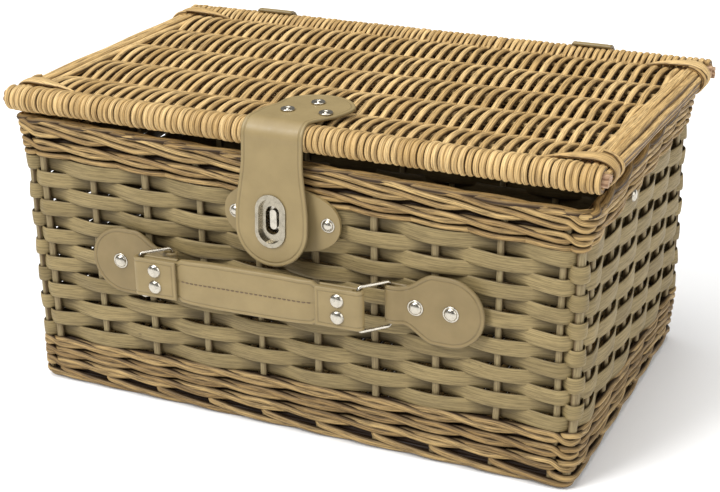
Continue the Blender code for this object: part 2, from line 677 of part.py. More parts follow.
def make_tab(side, body):
    """A pear-shaped tab. Its leather runs in from the round end, goes round the ring's fixed bar and back."""
    away = -1 if side == "left" else 1  # from the ring towards the tab's round end

    def plan(u, y):
        return Vector((RING_X[side] + away * u, y, TAB_Z[side]))

    shares = (0, 0.035, 0.13, 0.35, 0.65, 1, 1.35, 1.6, 1.8, 2)
    steps = [TAB_LENGTH - share * TAB_HALF_WIDTH for share in shares]
    steps += [share * TAB_BULGE for share in (1, 0.74, 0.48, 0.22)]
    bulge = RING_Y - FOLD_RADIUS - TAB_FRONT_Y
    front = [plan(u, TAB_FRONT_Y + bulge * (1 - smoothstep(0.0015, TAB_BULGE, u))) for u in steps]
    fold = arc((0, RING_Y), FOLD_RADIUS, 270, 90, 9, plan)
    back = [plan(TAB_RETURN, RING_Y + FOLD_RADIUS)]
    path = front + fold + back
    widths = []
    for u in steps:
        widened = TAB_NECK_HALF_WIDTH + (TAB_HALF_WIDTH - TAB_NECK_HALF_WIDTH) * smoothstep(*TAB_SHOULDER, u)
        widths.append(min(widened, round_end(TAB_HALF_WIDTH, TAB_LENGTH - u)))
    widths += [TAB_NECK_HALF_WIDTH] * (len(fold) + len(back))
    name = f"handle_tab_{side}"
    bm = strap(path, widths, [LEATHER] * len(path), Vector((0, 0, 1)))
    tab = new_object(name, mesh_of(name, bm), HIDE, body)
    seats = [plan(u, TAB_FRONT_Y - LEATHER / 2) for u in TAB_RIVETS]
    drill([tab], seats, Vector((0, -1, 0)))
    for place, seat in zip(("inner", "outer"), seats):
        rivet(f"tab_rivet_{place}_{side}", seat, (0, -1, 0), LEATHER, body)


def handle_height(x):
    """The height of the handle's middle line: it slopes a little between its two ends."""
    left, right = RING_X["left"] + SWING.x, RING_X["right"] + SWING.x
    t = (x - left) / (right - left)
    return HANDLE_END_Z["left"] + (HANDLE_END_Z["right"] - HANDLE_END_Z["left"]) * t


def plan_from(bar_x, inward):
    """Gives the way to turn a distance along the handle from a ring's bar, and a y, into a place."""
    def place(u, y):
        x = bar_x + inward * u
        return Vector((x, y, handle_height(x)))
    return place


def handle_half_width(inset):
    """Half the strap's width, this far from the nearer ring's bar."""
    tucked = HANDLE_END_HALF_WIDTH - HANDLE_TUCK
    mouth = HANDLE_END_LENGTH
    out_of_end = (HANDLE_MOUTH_HALF_WIDTH - tucked) * smoothstep(mouth - 0.001, mouth + 0.003, inset)
    to_middle = (HANDLE_HALF_WIDTH - HANDLE_MOUTH_HALF_WIDTH) * smoothstep(mouth, 2 * mouth, inset)
    return tucked + out_of_end + to_middle


def make_handle(handle):
    z_axis = Vector((0, 0, 1))
    left, right = RING_X["left"] + SWING.x, RING_X["right"] + SWING.x
    insets = [HANDLE_CUT] + [share * HANDLE_END_LENGTH for share in (0.7, 1, 1.1)] + [HANDLE_SWELL, 0.055]
    xs = [left + inset for inset in insets] + [(left + right) / 2]
    xs += [right - inset for inset in reversed(insets)]
    path, widths, thicknesses = [], [], []
    for x in xs:
        inset = min(x - left, right - x)
        swell = smoothstep(HANDLE_END_LENGTH, HANDLE_SWELL, inset)
        path.append(Vector((x, HANDLE_Y, handle_height(x))))
        widths.append(handle_half_width(inset))
        thicknesses.append(HANDLE_THIN + (HANDLE_THICK - HANDLE_THIN) * swell)
    bm = strap(path, widths, thicknesses, z_axis)
    strip = new_object("handle_strap", mesh_of("handle_strap", bm), HIDE, handle)

    seats, ends = [], []
    for side, inward in (("left", 1), ("right", -1)):
        plan = plan_from(RING_X[side] + SWING.x, inward)
        steps = [share * HANDLE_END_LENGTH for share in (1, 0.7, 0.28)]
        front = [plan(u, HANDLE_Y - FOLD_RADIUS) for u in steps]
        fold = arc((0, HANDLE_Y), FOLD_RADIUS, 270, 90, 9, plan)
        back = [plan(u, HANDLE_Y + FOLD_RADIUS) for u in reversed(steps)]
        path = front + fold + back
        name = f"handle_end_{side}"
        bm = strap(path, [HANDLE_END_HALF_WIDTH] * len(path), [LEATHER] * len(path), z_axis)
        ends.append(new_object(name, mesh_of(name, bm), HIDE, handle))
        for place, dz in (("top", 0.5), ("bottom", -0.5)):
            seat = plan(HANDLE_RIVET_INSET, HANDLE_Y - FOLD_RADIUS - LEATHER / 2)
            seat.z += dz * HANDLE_RIVET_SPACING
            seats.append(seat)
            rivet(f"handle_rivet_{place}_{side}", seat, (0, -1, 0), 2 * FOLD_RADIUS + LEATHER, handle)
    drill([strip, *ends], seats, Vector((0, -1, 0)), 2 * DRILL_LENGTH)


# ---------------------------------------------------------------- the whole basket


def main():
    root = bpy.data.objects.new("basket", None)
    BASKET.objects.link(root)
    root.location = (0, BASKET_Y, 0)
    root["place"] = Vector((0, 0, 0))
    lid = pivot("lid_axis", LID_PIVOT, root)
    hasp = pivot("hasp_axis", HASP_PIVOT, lid)
    button = pivot("button_axis", Vector((HASP_X, BUTTON_BAR_BACK, LOCK_Z)), root)
    ring_axes = {side: pivot(f"ring_axis_{side}", Vector((RING_X[side], RING_Y, RING_Z[side])), root)
                 for side in ("left", "right")}
    handle_place = Vector((RING_X["left"], RING_Y, RING_Z["left"])) + SWING
    handle = pivot("handle_axis", handle_place, ring_axes["left"])

    make_base(root)
    make_walls(root)
    make_lid(lid)
    make_hinges(root, lid)
    make_hasp_head(lid)
    make_hasp_tongue(hasp)
    make_eyelet(hasp)
    make_lock(root, button)
    for side in ("left", "right"):
        make_tab(side, root)
        make_ring(side, ring_axes[side])
    make_handle(handle)
    make_end_wall_rivet(root)


main()
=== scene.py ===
"""Looks of a willow hamper: its strips, rods, leather and metal, on a pale floor in soft light.

Metres, +Z up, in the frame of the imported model. It faces -Y, and +X is on the right of someone facing it.
A strand is a willow strip or rod swept along a path. A leather piece is drawn flat and then bent into place.
"""

import json
import math

import bmesh
import bpy
import numpy as np
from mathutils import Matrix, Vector


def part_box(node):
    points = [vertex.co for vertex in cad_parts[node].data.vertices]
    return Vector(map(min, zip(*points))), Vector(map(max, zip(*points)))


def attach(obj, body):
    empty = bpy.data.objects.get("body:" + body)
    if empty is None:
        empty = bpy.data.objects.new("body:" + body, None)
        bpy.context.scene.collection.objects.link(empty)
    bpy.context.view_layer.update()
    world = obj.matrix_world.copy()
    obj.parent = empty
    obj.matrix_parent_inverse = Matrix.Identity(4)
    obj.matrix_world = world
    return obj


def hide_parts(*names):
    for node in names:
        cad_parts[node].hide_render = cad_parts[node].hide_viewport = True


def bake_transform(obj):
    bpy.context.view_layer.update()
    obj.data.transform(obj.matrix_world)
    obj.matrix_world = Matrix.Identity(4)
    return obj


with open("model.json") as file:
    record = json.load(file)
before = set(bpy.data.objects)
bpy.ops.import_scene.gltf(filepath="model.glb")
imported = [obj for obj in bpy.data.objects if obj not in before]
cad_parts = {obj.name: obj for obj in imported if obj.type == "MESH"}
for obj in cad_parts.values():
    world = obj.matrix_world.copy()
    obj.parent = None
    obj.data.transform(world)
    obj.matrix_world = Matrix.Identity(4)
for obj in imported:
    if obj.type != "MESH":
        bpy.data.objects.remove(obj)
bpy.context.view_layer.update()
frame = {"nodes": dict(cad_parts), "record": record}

MM = 0.001
TURN = 2 * math.pi
SIDES = {"left": -1, "right": 1}
UP, FRONT, BACK, RIGHT = (0, 0, 1), (0, -1, 0), (0, 1, 0), (1, 0, 0)
rng = np.random.default_rng(11)


def low(node):
    return np.array(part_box(node)[0])


def high(node):
    return np.array(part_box(node)[1])


def centre(node):
    return (low(node) + high(node)) / 2


# Places and sizes that come from the frame
WALL_LOW, WALL_HIGH = low("foot_border"), high("foot_border")
MID_Y = centre("foot_border")[1]
HALF_X, HALF_Y, _ = (WALL_HIGH - WALL_LOW) / 2
FOOT_TOP = WALL_HIGH[2]
LOWER_TOP = high("lower_waling")[2]
WEAVE_TOP = high("front_weave")[2]
UPPER_TOP = high("upper_waling")[2]
RIM_TOP = high("rim_border")[2]
RIM_FLARE = high("rim_border")[0] - HALF_X
ROLL_Z = centre("lid_front_roll")[2]
ROLL_RADIUS = (high("lid_front_roll") - low("lid_front_roll"))[2] / 2
ROLL_Y = centre("lid_back_roll")[1] - MID_Y
LID_HALF_X = high("lid_corner_wrap_front_right")[0]

# How the basket is out of true
SETTLE = 9.5 * MM  # how far the rim's front right corner has sunk
LEFT_DROP = 10.5 * MM  # how much lower the lower waling's top is at the left end wall than at the right one
FOOT_TUCK = 4.5 * MM  # how far the foot's right end is drawn in
TUCK_TOP = 60 * MM  # and the height at which that ends
LID_RACK = 5 * MM  # how far the lid's back has slid to the right of its front

# Walls
WALL_MIDDLE = 4.3 * MM  # the stakes stand this far inside the wall's outer face
RING_CORNER = 5 * MM  # radius of the line of stakes at a corner
STAKE_PITCH = 40.4 * MM
LAST_STAKE_X = 180 * MM
SIDE_PITCH = 38 * MM
STAKE_RADIUS = 2.5 * MM
POST_RADIUS = 2.9 * MM
STAKE_DEPTH = 0.74  # the stakes are a little flat: their depth over their width
STRIP_ROWS = 13
STRIP_SWING = 2.9 * MM
STRIP_HALF_THICK = 1.0 * MM
STRIP_OVERLAP = 1.14  # a strip's width over the distance between rows
BACK_OVERLAP = 0.24  # how much more of that the back and left walls have
SIDE_OVERLAP = 0.12  # and the right wall
ROD_FILL = 0.86  # a waling rod's thickness over the height that it has
ROD_BEHIND = 3.0 * MM  # how far inside the stakes a waling rod passes
BACKING_BEHIND = 2.8 * MM
BACKING_RADIUS = 2.3 * MM
# Range of facing over which the waling rods' sides take painted shade
WALE_FLANK = (0.22, 0.98)

# Lid
LID_STICK_PITCH = 43 * MM
LID_ROD_PITCH = 3.83 * MM
LID_SWING = 4.3 * MM
WRAP_PITCH = 4.25 * MM
WRAP_RADIUS = 2.0 * MM
WRAP_TAIL = 13 * MM  # how far a wrap runs on into the lid
CORE_SPREAD = 2.35 * MM
CORE_RADIUS = 2.3 * MM

# Leather
LEATHER = 2.2 * MM
GAP = 0.3 * MM
EDGE_ROUNDING = 0.9 * MM
GROOVE_INSET = 2.6 * MM
GROOVE_WIDTH = 0.42 * MM
GROOVE_DEPTH = 0.42 * MM
STRAP_RADIUS = ROLL_RADIUS + GAP + LEATHER / 2  # of a strap's middle, where it goes round a roll
STRAP_TOP = ROLL_Z + STRAP_RADIUS
ROLL_FRONT, ROLL_BACK = MID_Y - ROLL_Y, MID_Y + ROLL_Y

# Hasp
HASP_X = centre("hasp_tongue")[0]
HASP_PIVOT = np.array([HASP_X, ROLL_FRONT - STRAP_RADIUS, 202 * MM])
HASP_HANG = math.radians(4.8)
HASP_DOWN = np.array([0, -math.sin(HASP_HANG), -math.cos(HASP_HANG)])
HASP_LENGTH = 80 * MM
HASP_HALF = 21 * MM
HEAD_BACK = high("hasp_head")[1]
HEAD_X = 8 * MM
HEAD_HALF = 26.5 * MM
TONGUE_HALF = 25 * MM
EYELET_DROP = 50.5 * MM
EYELET_LIP = 2.0 * MM  # how far the eyelet's flange lies over the leather

# Hinges
HINGE_BULGE = 7.4 * MM  # how far behind the roll's middle a hinge strap bends
HINGE_Z = 193.5 * MM
WALL_STRAP_Y = WALL_HIGH[1] + GAP + LEATHER / 2

# Handle, with its rings and tabs
RING_X = {"left": -79 * MM, "right": 75 * MM}
RING_Z = {"left": 104 * MM, "right": 108 * MM}
TAB_Z = {"left": 103.5 * MM, "right": 108.5 * MM}
RING_WIRE = 1.05 * MM
RING_SPAN = 30 * MM
RING_REACH = 21.5 * MM
RING_BEND = 2.6 * MM
RING_DIRECTION = np.array([math.cos(math.radians(228)), math.sin(math.radians(228)), 0])
FOLD_RADIUS = 2.7 * MM
RING_Y = WALL_LOW[1] - GAP - LEATHER / 2 - FOLD_RADIUS
TAB_FRONT_Y = WALL_LOW[1] - 2 * GAP - 1.5 * LEATHER
TAB_LENGTH = 61 * MM
TAB_NECK, TAB_HALF = 12.75 * MM, 23 * MM
TAB_SHOULDER = (7 * MM, 28 * MM)  # the tab widens between these distances from the ring's bar
TAB_BULGE = (1.5 * MM, 11.5 * MM)  # and its front comes down to the wall between these
TAB_RETURN = 15 * MM
HANDLE_Y = RING_Y + RING_DIRECTION[1] * RING_REACH
HANDLE_LEFT, HANDLE_RIGHT = [RING_X[side] + RING_DIRECTION[0] * RING_REACH for side in SIDES]
HANDLE_LOW, HANDLE_RISE = 104.4 * MM, 3.6 * MM  # its left end's height, and how much higher the right one is
HANDLE_CUT = 3.5 * MM  # from a ring's bar to the strap's cut end
HANDLE_END_HALF = 13.25 * MM
HANDLE_END_LENGTH = 28 * MM
HANDLE_TUCKED_HALF = 12.65 * MM
HANDLE_MOUTH_HALF = 14.8 * MM
HANDLE_HALF = 15.6 * MM
HANDLE_THIN, HANDLE_PADDING = 2.6 * MM, 2.4 * MM
HANDLE_VALLEY = 0.45 * MM  # depth of the hollow that the seam runs in
STITCH_START = 31 * MM
STITCH_PITCH = 3.3 * MM
STITCH_LENGTH = 2.1 * MM

RIVET_HEAD = 1.8 * MM


# ---- small helpers


def smooth(a, b, x):
    """0 before a, 1 after b, with a smooth rise between them."""
    t = np.clip((x - a) / (b - a), 0, 1)
    return t * t * (3 - 2 * t)


def wander(t, cycles, size):
    """A slow random wobble that repeats when t has gone from 0 to 1."""
    first, second = rng.random(2)
    fine = 0.6 * np.sin(TURN * ((2 * cycles + 1) * t + second))
    return size * (np.sin(TURN * (cycles * t + first)) + fine) / 1.6


def columns(*values):
    """Numbers and rows of numbers as the columns of one array."""
    return np.stack(np.broadcast_arrays(*values), axis=-1)


def unit(vectors):
    return vectors / np.linalg.norm(vectors, axis=-1, keepdims=True)


def travelled(points):
    """How far along a path each of its points is."""
    return np.concatenate([[0], np.cumsum(np.linalg.norm(np.diff(points, axis=0), axis=1))])


def spline(knots, count):
    """A smooth curve through a few points (Catmull-Rom), read at even steps of its knots."""
    knots = np.asarray(knots, dtype=float)
    padded = np.vstack([2 * knots[0] - knots[1], knots, 2 * knots[-1] - knots[-2]])
    t = np.linspace(0, len(knots) - 1 - 1e-9, count)
    i = t.astype(int)
    u = (t - i)[:, None]
    a, b, c, d = padded[i], padded[i + 1], padded[i + 2], padded[i + 3]
    cubic = (3 * b - a - 3 * c + d) * u ** 3
    return 0.5 * (2 * b + (c - a) * u + (2 * a - 5 * b + 4 * c - d) * u ** 2 + cubic)


def circle(count):
    return [(math.cos(a), math.sin(a)) for a in np.linspace(0, TURN, count, endpoint=False)]


ROD_SECTION = circle(10)
STRIP_SECTION = [(-1, 0.0), (-0.9, -0.5), (-0.4, -0.62), (0.4, -0.62), (0.9, -0.5), (1, 0.0), (0.92, 0.55),
                 (0.6, 0.82), (0, 0.9), (-0.6, 0.82), (-0.92, 0.55)]


def link(obj):
    bpy.context.scene.collection.objects.link(obj)
    return obj


def attribute(mesh, name, values):
    """Stores a number or a vector for each point, for a material to read."""
    values = np.asarray(values, dtype=np.float32)
    kind, key = ("FLOAT_VECTOR", "vector") if values.ndim == 2 else ("FLOAT", "value")
    mesh.attributes.new(name, kind, "POINT").data.foreach_set(key, values.ravel())


def grid(rows, across, loops=(False, False)):
    """Faces between the points of a grid, which may close on itself along either way."""
    i = np.arange(rows if loops[0] else rows - 1)[:, None]
    j = np.arange(across if loops[1] else across - 1)
    here, ahead = i * across, (i + 1) % rows * across
    beside = (j + 1) % across
    return np.stack([here + j, here + beside, ahead + beside, ahead + j], axis=2).reshape(-1, 4)


def tube(first, rings, across, closed=False):
    """Faces of a tube, with its two ends unless it closes on itself. first is its first point's number."""
    faces = (grid(rings, across, (closed, True)) + first).tolist()
    last = first + (rings - 1) * across
    ends = [list(range(first, first + across))[::-1], list(range(last, last + across))]
    return faces if closed else faces + ends


def make_object(name, points, faces, material):
    mesh = bpy.data.meshes.new(name)
    mesh.from_pydata(np.asarray(points).tolist(), [], faces)
    mesh.materials.append(material)
    mesh.shade_smooth()
    return link(bpy.data.objects.new(name, mesh))


def settle_in(obj, body, slot, *nodes):
    """Makes a piece ride on a body and lets it stand for CAD nodes. Its slot is not used."""
    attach(obj, body)
    if nodes:
        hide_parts(*nodes)


def weld(mesh):
    """Joins points that lie in the same place."""
    shape = bmesh.new()
    shape.from_mesh(mesh)
    bmesh.ops.remove_doubles(shape, verts=shape.verts, dist=0.002 * MM)
    shape.to_mesh(mesh)
    shape.free()


class Strands:
    """Strands that are swept one by one and end up in one mesh."""

    def __init__(self, flank=(0.05, 0.72), inner_shade=0.0):
        self.points, self.grain, self.tint, self.shade, self.faces = [], [], [], [], []
        self.count = 0
        # The next two set painted shade: on a strand's sides, and on its inner faces.
        self.flank = flank  # a face is in full tone from the second of these on, and dark below the first
        self.inner_shade = inner_shade  # how dark the inner faces are

    def add(self, path, outward, size, section=ROD_SECTION, closed=False, tint=None, level=0.0):
        """Sweeps a section along path. size is its half width and half thickness, or one number for both.

        level says how far out the strand lies, from -1 to 1: its face that is covered by others is darker,
        with painted shade.
        """
        path = np.asarray(path, dtype=float)
        section = np.asarray(section, dtype=float)
        n, m = len(path), len(section)
        half_width, half_thick = np.broadcast_to(size, (n, 2)).T
        if closed:
            tangent = unit(np.roll(path, -1, axis=0) - np.roll(path, 1, axis=0))
        else:
            tangent = unit(np.gradient(path, axis=0))
        out = np.broadcast_to(outward, (n, 3))
        out = unit(out - tangent * np.sum(out * tangent, axis=1)[:, None])
        across = np.cross(out, tangent)
        u = section[:, 0] * half_width[:, None]
        v = section[:, 1] * half_thick[:, None]
        points = path[:, None] + across[:, None] * u[:, :, None] + out[:, None] * v[:, :, None]
        along = travelled(path) + rng.random() * 20
        self.points.append(points.reshape(-1, 3))
        self.grain.append(columns(np.repeat(along, m), u.ravel(), v.ravel()))
        self.tint.append(np.full(n * m, rng.random() if tint is None else tint))
        # The shade layer is painted shade on the sides, the inner faces and the covered faces.
        facing = np.tile(section[:, 1] / np.abs(section[:, 1]).max(), n)
        covered_shade = np.repeat(np.broadcast_to(level, n), m) * -np.sign(facing)
        side = 1 - smooth(*self.flank, np.abs(facing))
        side = np.maximum(side, self.inner_shade * (facing < -0.1))
        self.shade.append(np.maximum(side, np.clip(covered_shade, 0, 1)))
        self.faces += tube(self.count, n, m, closed)
        self.count += n * m

    def build(self, name, material, body, slot, *nodes):
        """Makes the mesh, which rides on a body and stands for CAD nodes. Its slot is not used."""
        obj = make_object(name, np.concatenate(self.points), self.faces, material)
        for layer in ("grain", "tint", "shade"):
            attribute(obj.data, layer, np.concatenate(getattr(self, layer)))
        settle_in(obj, body, slot, *nodes)


class LidStrands(Strands):
    """Strands of the lid, which is a little out of square."""

    def build(self, *facts):
        for part in self.points:
            part[:, 0] += LID_RACK * ((part[:, 1] - MID_Y) / (2 * ROLL_Y) + 0.5)
        super().build(*facts)


# ---- materials


class Nodes:
    """A short way to write a material's nodes."""

    def __init__(self, name):
        self.material = bpy.data.materials.new(name)
        self.material.use_nodes = True
        self.tree = self.material.node_tree

    def put(self, socket, value):
        """Links a socket to another one, or sets its number, vector or colour."""
        if isinstance(value, bpy.types.NodeSocket):
            self.tree.links.new(value, socket)
        elif socket.type == "RGBA":
            socket.default_value = (*value, 1)
        else:
            socket.default_value = value

    def fill(self, node, inputs):
        for key, value in inputs.items():
            self.put(node.inputs[key.replace("_", " ")], value)

    def add(self, kind, **inputs):
        node = self.tree.nodes.new("ShaderNode" + kind)
        self.fill(node, inputs)
        return node

    def place(self):
        return self.add("TexCoord").outputs["Object"]

    def attribute(self, name, output="Fac"):
        node = self.add("Attribute")
        node.attribute_name = name
        return node.outputs[output]

    def scaled(self, vector, scale):
        node = self.add("VectorMath")
        node.operation = "MULTIPLY"
        self.put(node.inputs[0], vector)
        self.put(node.inputs[1], scale)
        return node.outputs[0]

    def noise(self, vector, scale, detail=3.0, roughness=0.55):
        """Noise whose grain is as fine along each axis as the scale says."""
        place = self.scaled(vector, scale)
        node = self.add("TexNoise", Vector=place, Scale=1.0, Detail=detail, Roughness=roughness)
        return node.outputs["Fac"]

    def ramp(self, factor, *stops):
        """Turns a factor into a number. Each stop is a factor and the number there."""
        node = self.add("ValToRGB", Fac=factor)
        for element, (position, value) in zip(node.color_ramp.elements, stops):
            element.position = position
            element.color = (value, value, value, 1)
        return node.outputs["Color"]

    def mix(self, a, b, factor, *stops):
        """A tone that goes from a to b as the factor's ramp says."""
        share = self.ramp(factor, *stops)
        node = self.add("Mix")
        node.data_type = "RGBA"
        for index, value in ((0, share), (6, a), (7, b)):
            self.put(node.inputs[index], value)
        return node.outputs[2]

    def bump(self, height, strength, distance, **under):
        """A relief, which may lie on another one, given as Normal."""
        node = self.add("Bump", Height=height, Strength=strength, Distance=distance, **under)
        return node.outputs["Normal"]

    def finish(self, **inputs):
        self.fill(self.tree.nodes["Principled BSDF"], inputs)
        return self.material


def darker(tone, share):
    return tuple(channel * share for channel in tone)


def willow(name, pale, deep, grain_and_shade, fibre=1.0, painted_shade=0.92, relief=0.5):
    """Willow: every strand has its own tone, with long fibres, a few brown specks, and painted shade on its
    sides and on faces that lie inside or under others.
    """
    n = Nodes(name)
    grain = n.attribute("grain", "Vector")
    tint = n.attribute("tint")
    fibres = n.noise(grain, (70, 1700, 1700), detail=4, roughness=0.65)
    blotches = n.noise(grain, (28, 90, 90), detail=2)
    specks = n.noise(grain, (90, 260, 260), detail=2)
    tone = n.mix(pale, deep, tint, (0.0, 0.05), (1.0, 0.95))
    tone = n.mix(tone, deep, blotches, (0.35, 0.0), (0.72, 0.6))
    tone = n.mix(tone, grain_and_shade, fibres, (0.38, 0.75 * fibre), (0.58, 0.0))
    tone = n.mix(tone, grain_and_shade, specks, (0.70, 0.0), (0.80, 0.55))
    # Painted shade, as the shade layer says.
    tone = n.mix(tone, grain_and_shade, n.attribute("shade"), (0.05, 0.0), (0.9, painted_shade))
    rough = n.ramp(fibres, (0.3, 0.68), (0.7, 0.46))
    normal = n.bump(fibres, relief, 0.35 * MM)
    return n.finish(Base_Color=tone, Roughness=rough, Normal=normal, Specular_IOR_Level=0.32)


def leather(name, pale, deep):
    """Coated leather: a fine pebble, a soft sheen, and edges rubbed a little darker."""
    n = Nodes(name)
    grain = n.attribute("grain", "Vector")
    edge = n.attribute("edge")
    pebble = n.add("TexVoronoi", Vector=n.scaled(grain, (1500, 1500, 1500)), Scale=1.0)
    clouds = n.noise(grain, (60, 60, 60))
    scuffs = n.noise(grain, (300, 500, 500), detail=4, roughness=0.7)
    tone = n.mix(pale, deep, clouds, (0.3, 0.0), (0.75, 0.75))
    tone = n.mix(tone, deep, scuffs, (0.62, 0.0), (0.80, 0.35))
    tone = n.mix(tone, darker(deep, 0.55), edge, (0.25, 0.0), (1.0, 0.55))
    rough = n.ramp(scuffs, (0.3, 0.42), (0.7, 0.56))
    pebbled = n.bump(pebble.outputs["Distance"], 0.25, 0.12 * MM)
    scuffed = n.bump(scuffs, 0.12, 0.3 * MM, Normal=pebbled)
    return n.finish(Base_Color=tone, Roughness=rough, Normal=scuffed)


def plated(name, tone):
    """Nickel plate with fine scratches and a little tarnish."""
    n = Nodes(name)
    place = n.place()
    scratches = n.noise(place, (900, 2600, 900))
    tarnish = n.noise(place, (350, 350, 350))
    colour = n.mix(tone, darker(tone, 0.55), tarnish, (0.45, 0.0), (0.8, 0.7))
    rough = n.ramp(scratches, (0.3, 0.16), (0.75, 0.34))
    normal = n.bump(scratches, 0.08, 0.05 * MM)
    return n.finish(Base_Color=colour, Metallic=1.0, Roughness=rough, Normal=normal)


def thread(name, tone):
    """Twisted thread."""
    n = Nodes(name)
    twist = n.noise(n.attribute("grain", "Vector"), (2500, 900, 900), detail=2)
    colour = n.mix(tone, darker(tone, 0.4), twist, (0.3, 0.0), (0.7, 0.6))
    normal = n.bump(twist, 0.5, 0.2 * MM)
    return n.finish(Base_Color=colour, Roughness=0.75, Normal=normal)


SPLIT = willow("split_willow", (0.35, 0.266, 0.119), (0.232, 0.174, 0.075), (0.04, 0.025, 0.01), fibre=0.65,
               relief=0.3)
# One buff willow in three brightnesses: the lid's is made brighter, as painted light, and the lower waling's
# and foot's darker, as painted shade.
BUFF = willow("buff_willow", (0.88, 0.625, 0.29), (0.5, 0.32, 0.12), (0.05, 0.022, 0.007), fibre=0.9)
WALE = willow("waling_willow", (0.665, 0.458, 0.188), (0.345, 0.214, 0.076), (0.028, 0.013, 0.004),
              painted_shade=1.0)
# The waling willow darkened as painted shade, for the lower waling and the foot.
SHADED_WALE = willow("shaded_lower_waling_willow", (0.55, 0.376, 0.155), (0.27, 0.166, 0.058), (0.02, 0.009, 0.003),
                  painted_shade=1.0)
STAKE = willow("stake_willow", (0.33, 0.265, 0.135), (0.24, 0.18, 0.09), (0.09, 0.055, 0.025), fibre=0.8)
ROD_END = willow("cut_willow", (0.64, 0.45, 0.29), (0.48, 0.3, 0.17), (0.2, 0.1, 0.05))
HIDE = leather("leather", (0.288, 0.213, 0.093), (0.226, 0.165, 0.069))
TAB_HIDE = leather("tab_leather", (0.236, 0.17, 0.071), (0.185, 0.132, 0.052))
# Nickel warmer and darker than bare nickel: partly its own tone, partly painted reflection of the leather
# around it. The eyelet's copy is darker and warmer still, as painted reflection of the leather.
NICKEL = plated("nickel", (0.56, 0.52, 0.44))
EYELET = plated("eyelet_nickel", (0.4, 0.36, 0.28))
THREAD = thread("thread", (0.15, 0.1, 0.06))


# ---- the wall's plan and shape


def plan_ring():
    """Knots of the closed line that the stakes stand on, from the back's middle by the left and the front.

    Each knot is its distance along the line, the middle of its arc, and the direction that faces outwards.
    """
    x = HALF_X - WALL_MIDDLE - RING_CORNER
    y = HALF_Y - WALL_MIDDLE - RING_CORNER
    quarter = math.pi / 2
    knots = [(0.0, 0.0, y, quarter)]
    distance, angle = x, quarter
    for cx, cy, straight in ((-x, y, 2 * y), (-x, -y, 2 * x), (x, -y, 2 * y), (x, y, x)):
        knots.append((distance, cx, cy, angle))
        distance += RING_CORNER * quarter
        angle += quarter
        knots.append((distance, cx, cy, angle))
        distance += straight
    knots.append((distance, 0.0, y, angle))
    return np.array(knots)


RING = plan_ring()
RING_LENGTH = RING[-1, 0]
BACK_LEFT, FRONT_LEFT, FRONT_RIGHT, BACK_RIGHT = RING[1:9, 0].reshape(4, 2)  # each corner's start and end


def ring_stations():
    """Distances along the ring, close together near the corners."""
    near, fine, coarse = 14 * MM, 1.4 * MM, 3.3 * MM
    stations = []
    for start, end in zip(RING[:-1, 0], RING[1:, 0]):
        length = end - start
        if length < near:
            steps = np.linspace(0, length, 9)[:-1]
        else:
            steps = np.concatenate([np.arange(0, near, fine), np.arange(near, length - near, coarse),
                                    np.arange(length - near, length - 0.5 * MM, fine)])
        stations.append(start + steps)
    return np.concatenate(stations)


def stake_distances():
    """Where the stakes stand along the ring, in order. A corner's post is in the middle of its arc."""
    half_corner = RING_CORNER * math.pi / 4
    halves = [STAKE_PITCH * (i + 0.5) for i in range(4)] + [LAST_STAKE_X]
    fronts = [-x for x in reversed(halves)] + halves
    ends = [SIDE_PITCH * (i + 0.5) for i in range(-3, 3)]
    found = [(x, False) for x in halves] + [(RING_LENGTH - x, False) for x in halves]
    after = (FRONT_LEFT[0], FRONT_RIGHT[0], BACK_RIGHT[0], RING_LENGTH)
    corners = (BACK_LEFT[1], FRONT_LEFT[1], FRONT_RIGHT[1], BACK_RIGHT[1])
    for corner, following, places in zip(corners, after, (ends, fronts, ends, [])):
        found.append((corner - half_corner, True))
        found += [((corner + following) / 2 + place, False) for place in places]
    return sorted(found)


def stakes_passed(distance):
    """How many stakes have been passed at a distance along the ring, as a smooth count."""
    stands = np.array([s for s, _ in STAKES])
    known = np.concatenate([[stands[-1] - RING_LENGTH], stands, [stands[0] + RING_LENGTH]])
    return np.interp(distance, known, np.arange(-1, len(STAKES) + 1))


STAKES = stake_distances()
STATIONS = ring_stations()
ROUND = STATIONS / RING_LENGTH
PASSED = stakes_passed(STATIONS)


def on_wall(x, y, z):
    """Moves points of the upright wall to the real one, with its flared ends and its sunken corner."""
    flare = RIM_FLARE * np.clip(z - WEAVE_TOP, 0, None) / (RIM_TOP - WEAVE_TOP)
    to_right = x / (2 * HALF_X) + 0.5
    to_front = 0.5 - y / (2 * HALF_Y)
    near_waling = np.minimum(z / LOWER_TOP, np.clip(WEAVE_TOP - z, 0, None) / (WEAVE_TOP - LOWER_TOP))
    drop = LEFT_DROP * near_waling * (1 - to_right) + SETTLE * z / RIM_TOP * to_right * to_front
    tuck = FOOT_TUCK * np.clip(1 - z / TUCK_TOP, 0, 1) ** 1.5 * np.clip(x / HALF_X, 0, 1)
    return columns(x + np.sign(x) * flare - tuck, y + MID_Y, z - drop)


def wall_path(distance, out, height):
    """A path in the wall, at distances along the ring and out of it, and its outward directions."""
    s = np.mod(distance, RING_LENGTH)
    cx, cy, angle = [np.interp(s, RING[:, 0], RING[:, k]) for k in (1, 2, 3)]
    right, back = np.cos(angle), np.sin(angle)
    radius = RING_CORNER + out
    return on_wall(cx + right * radius, cy + back * radius, height), columns(right, back, 0.0)


# ---- walls


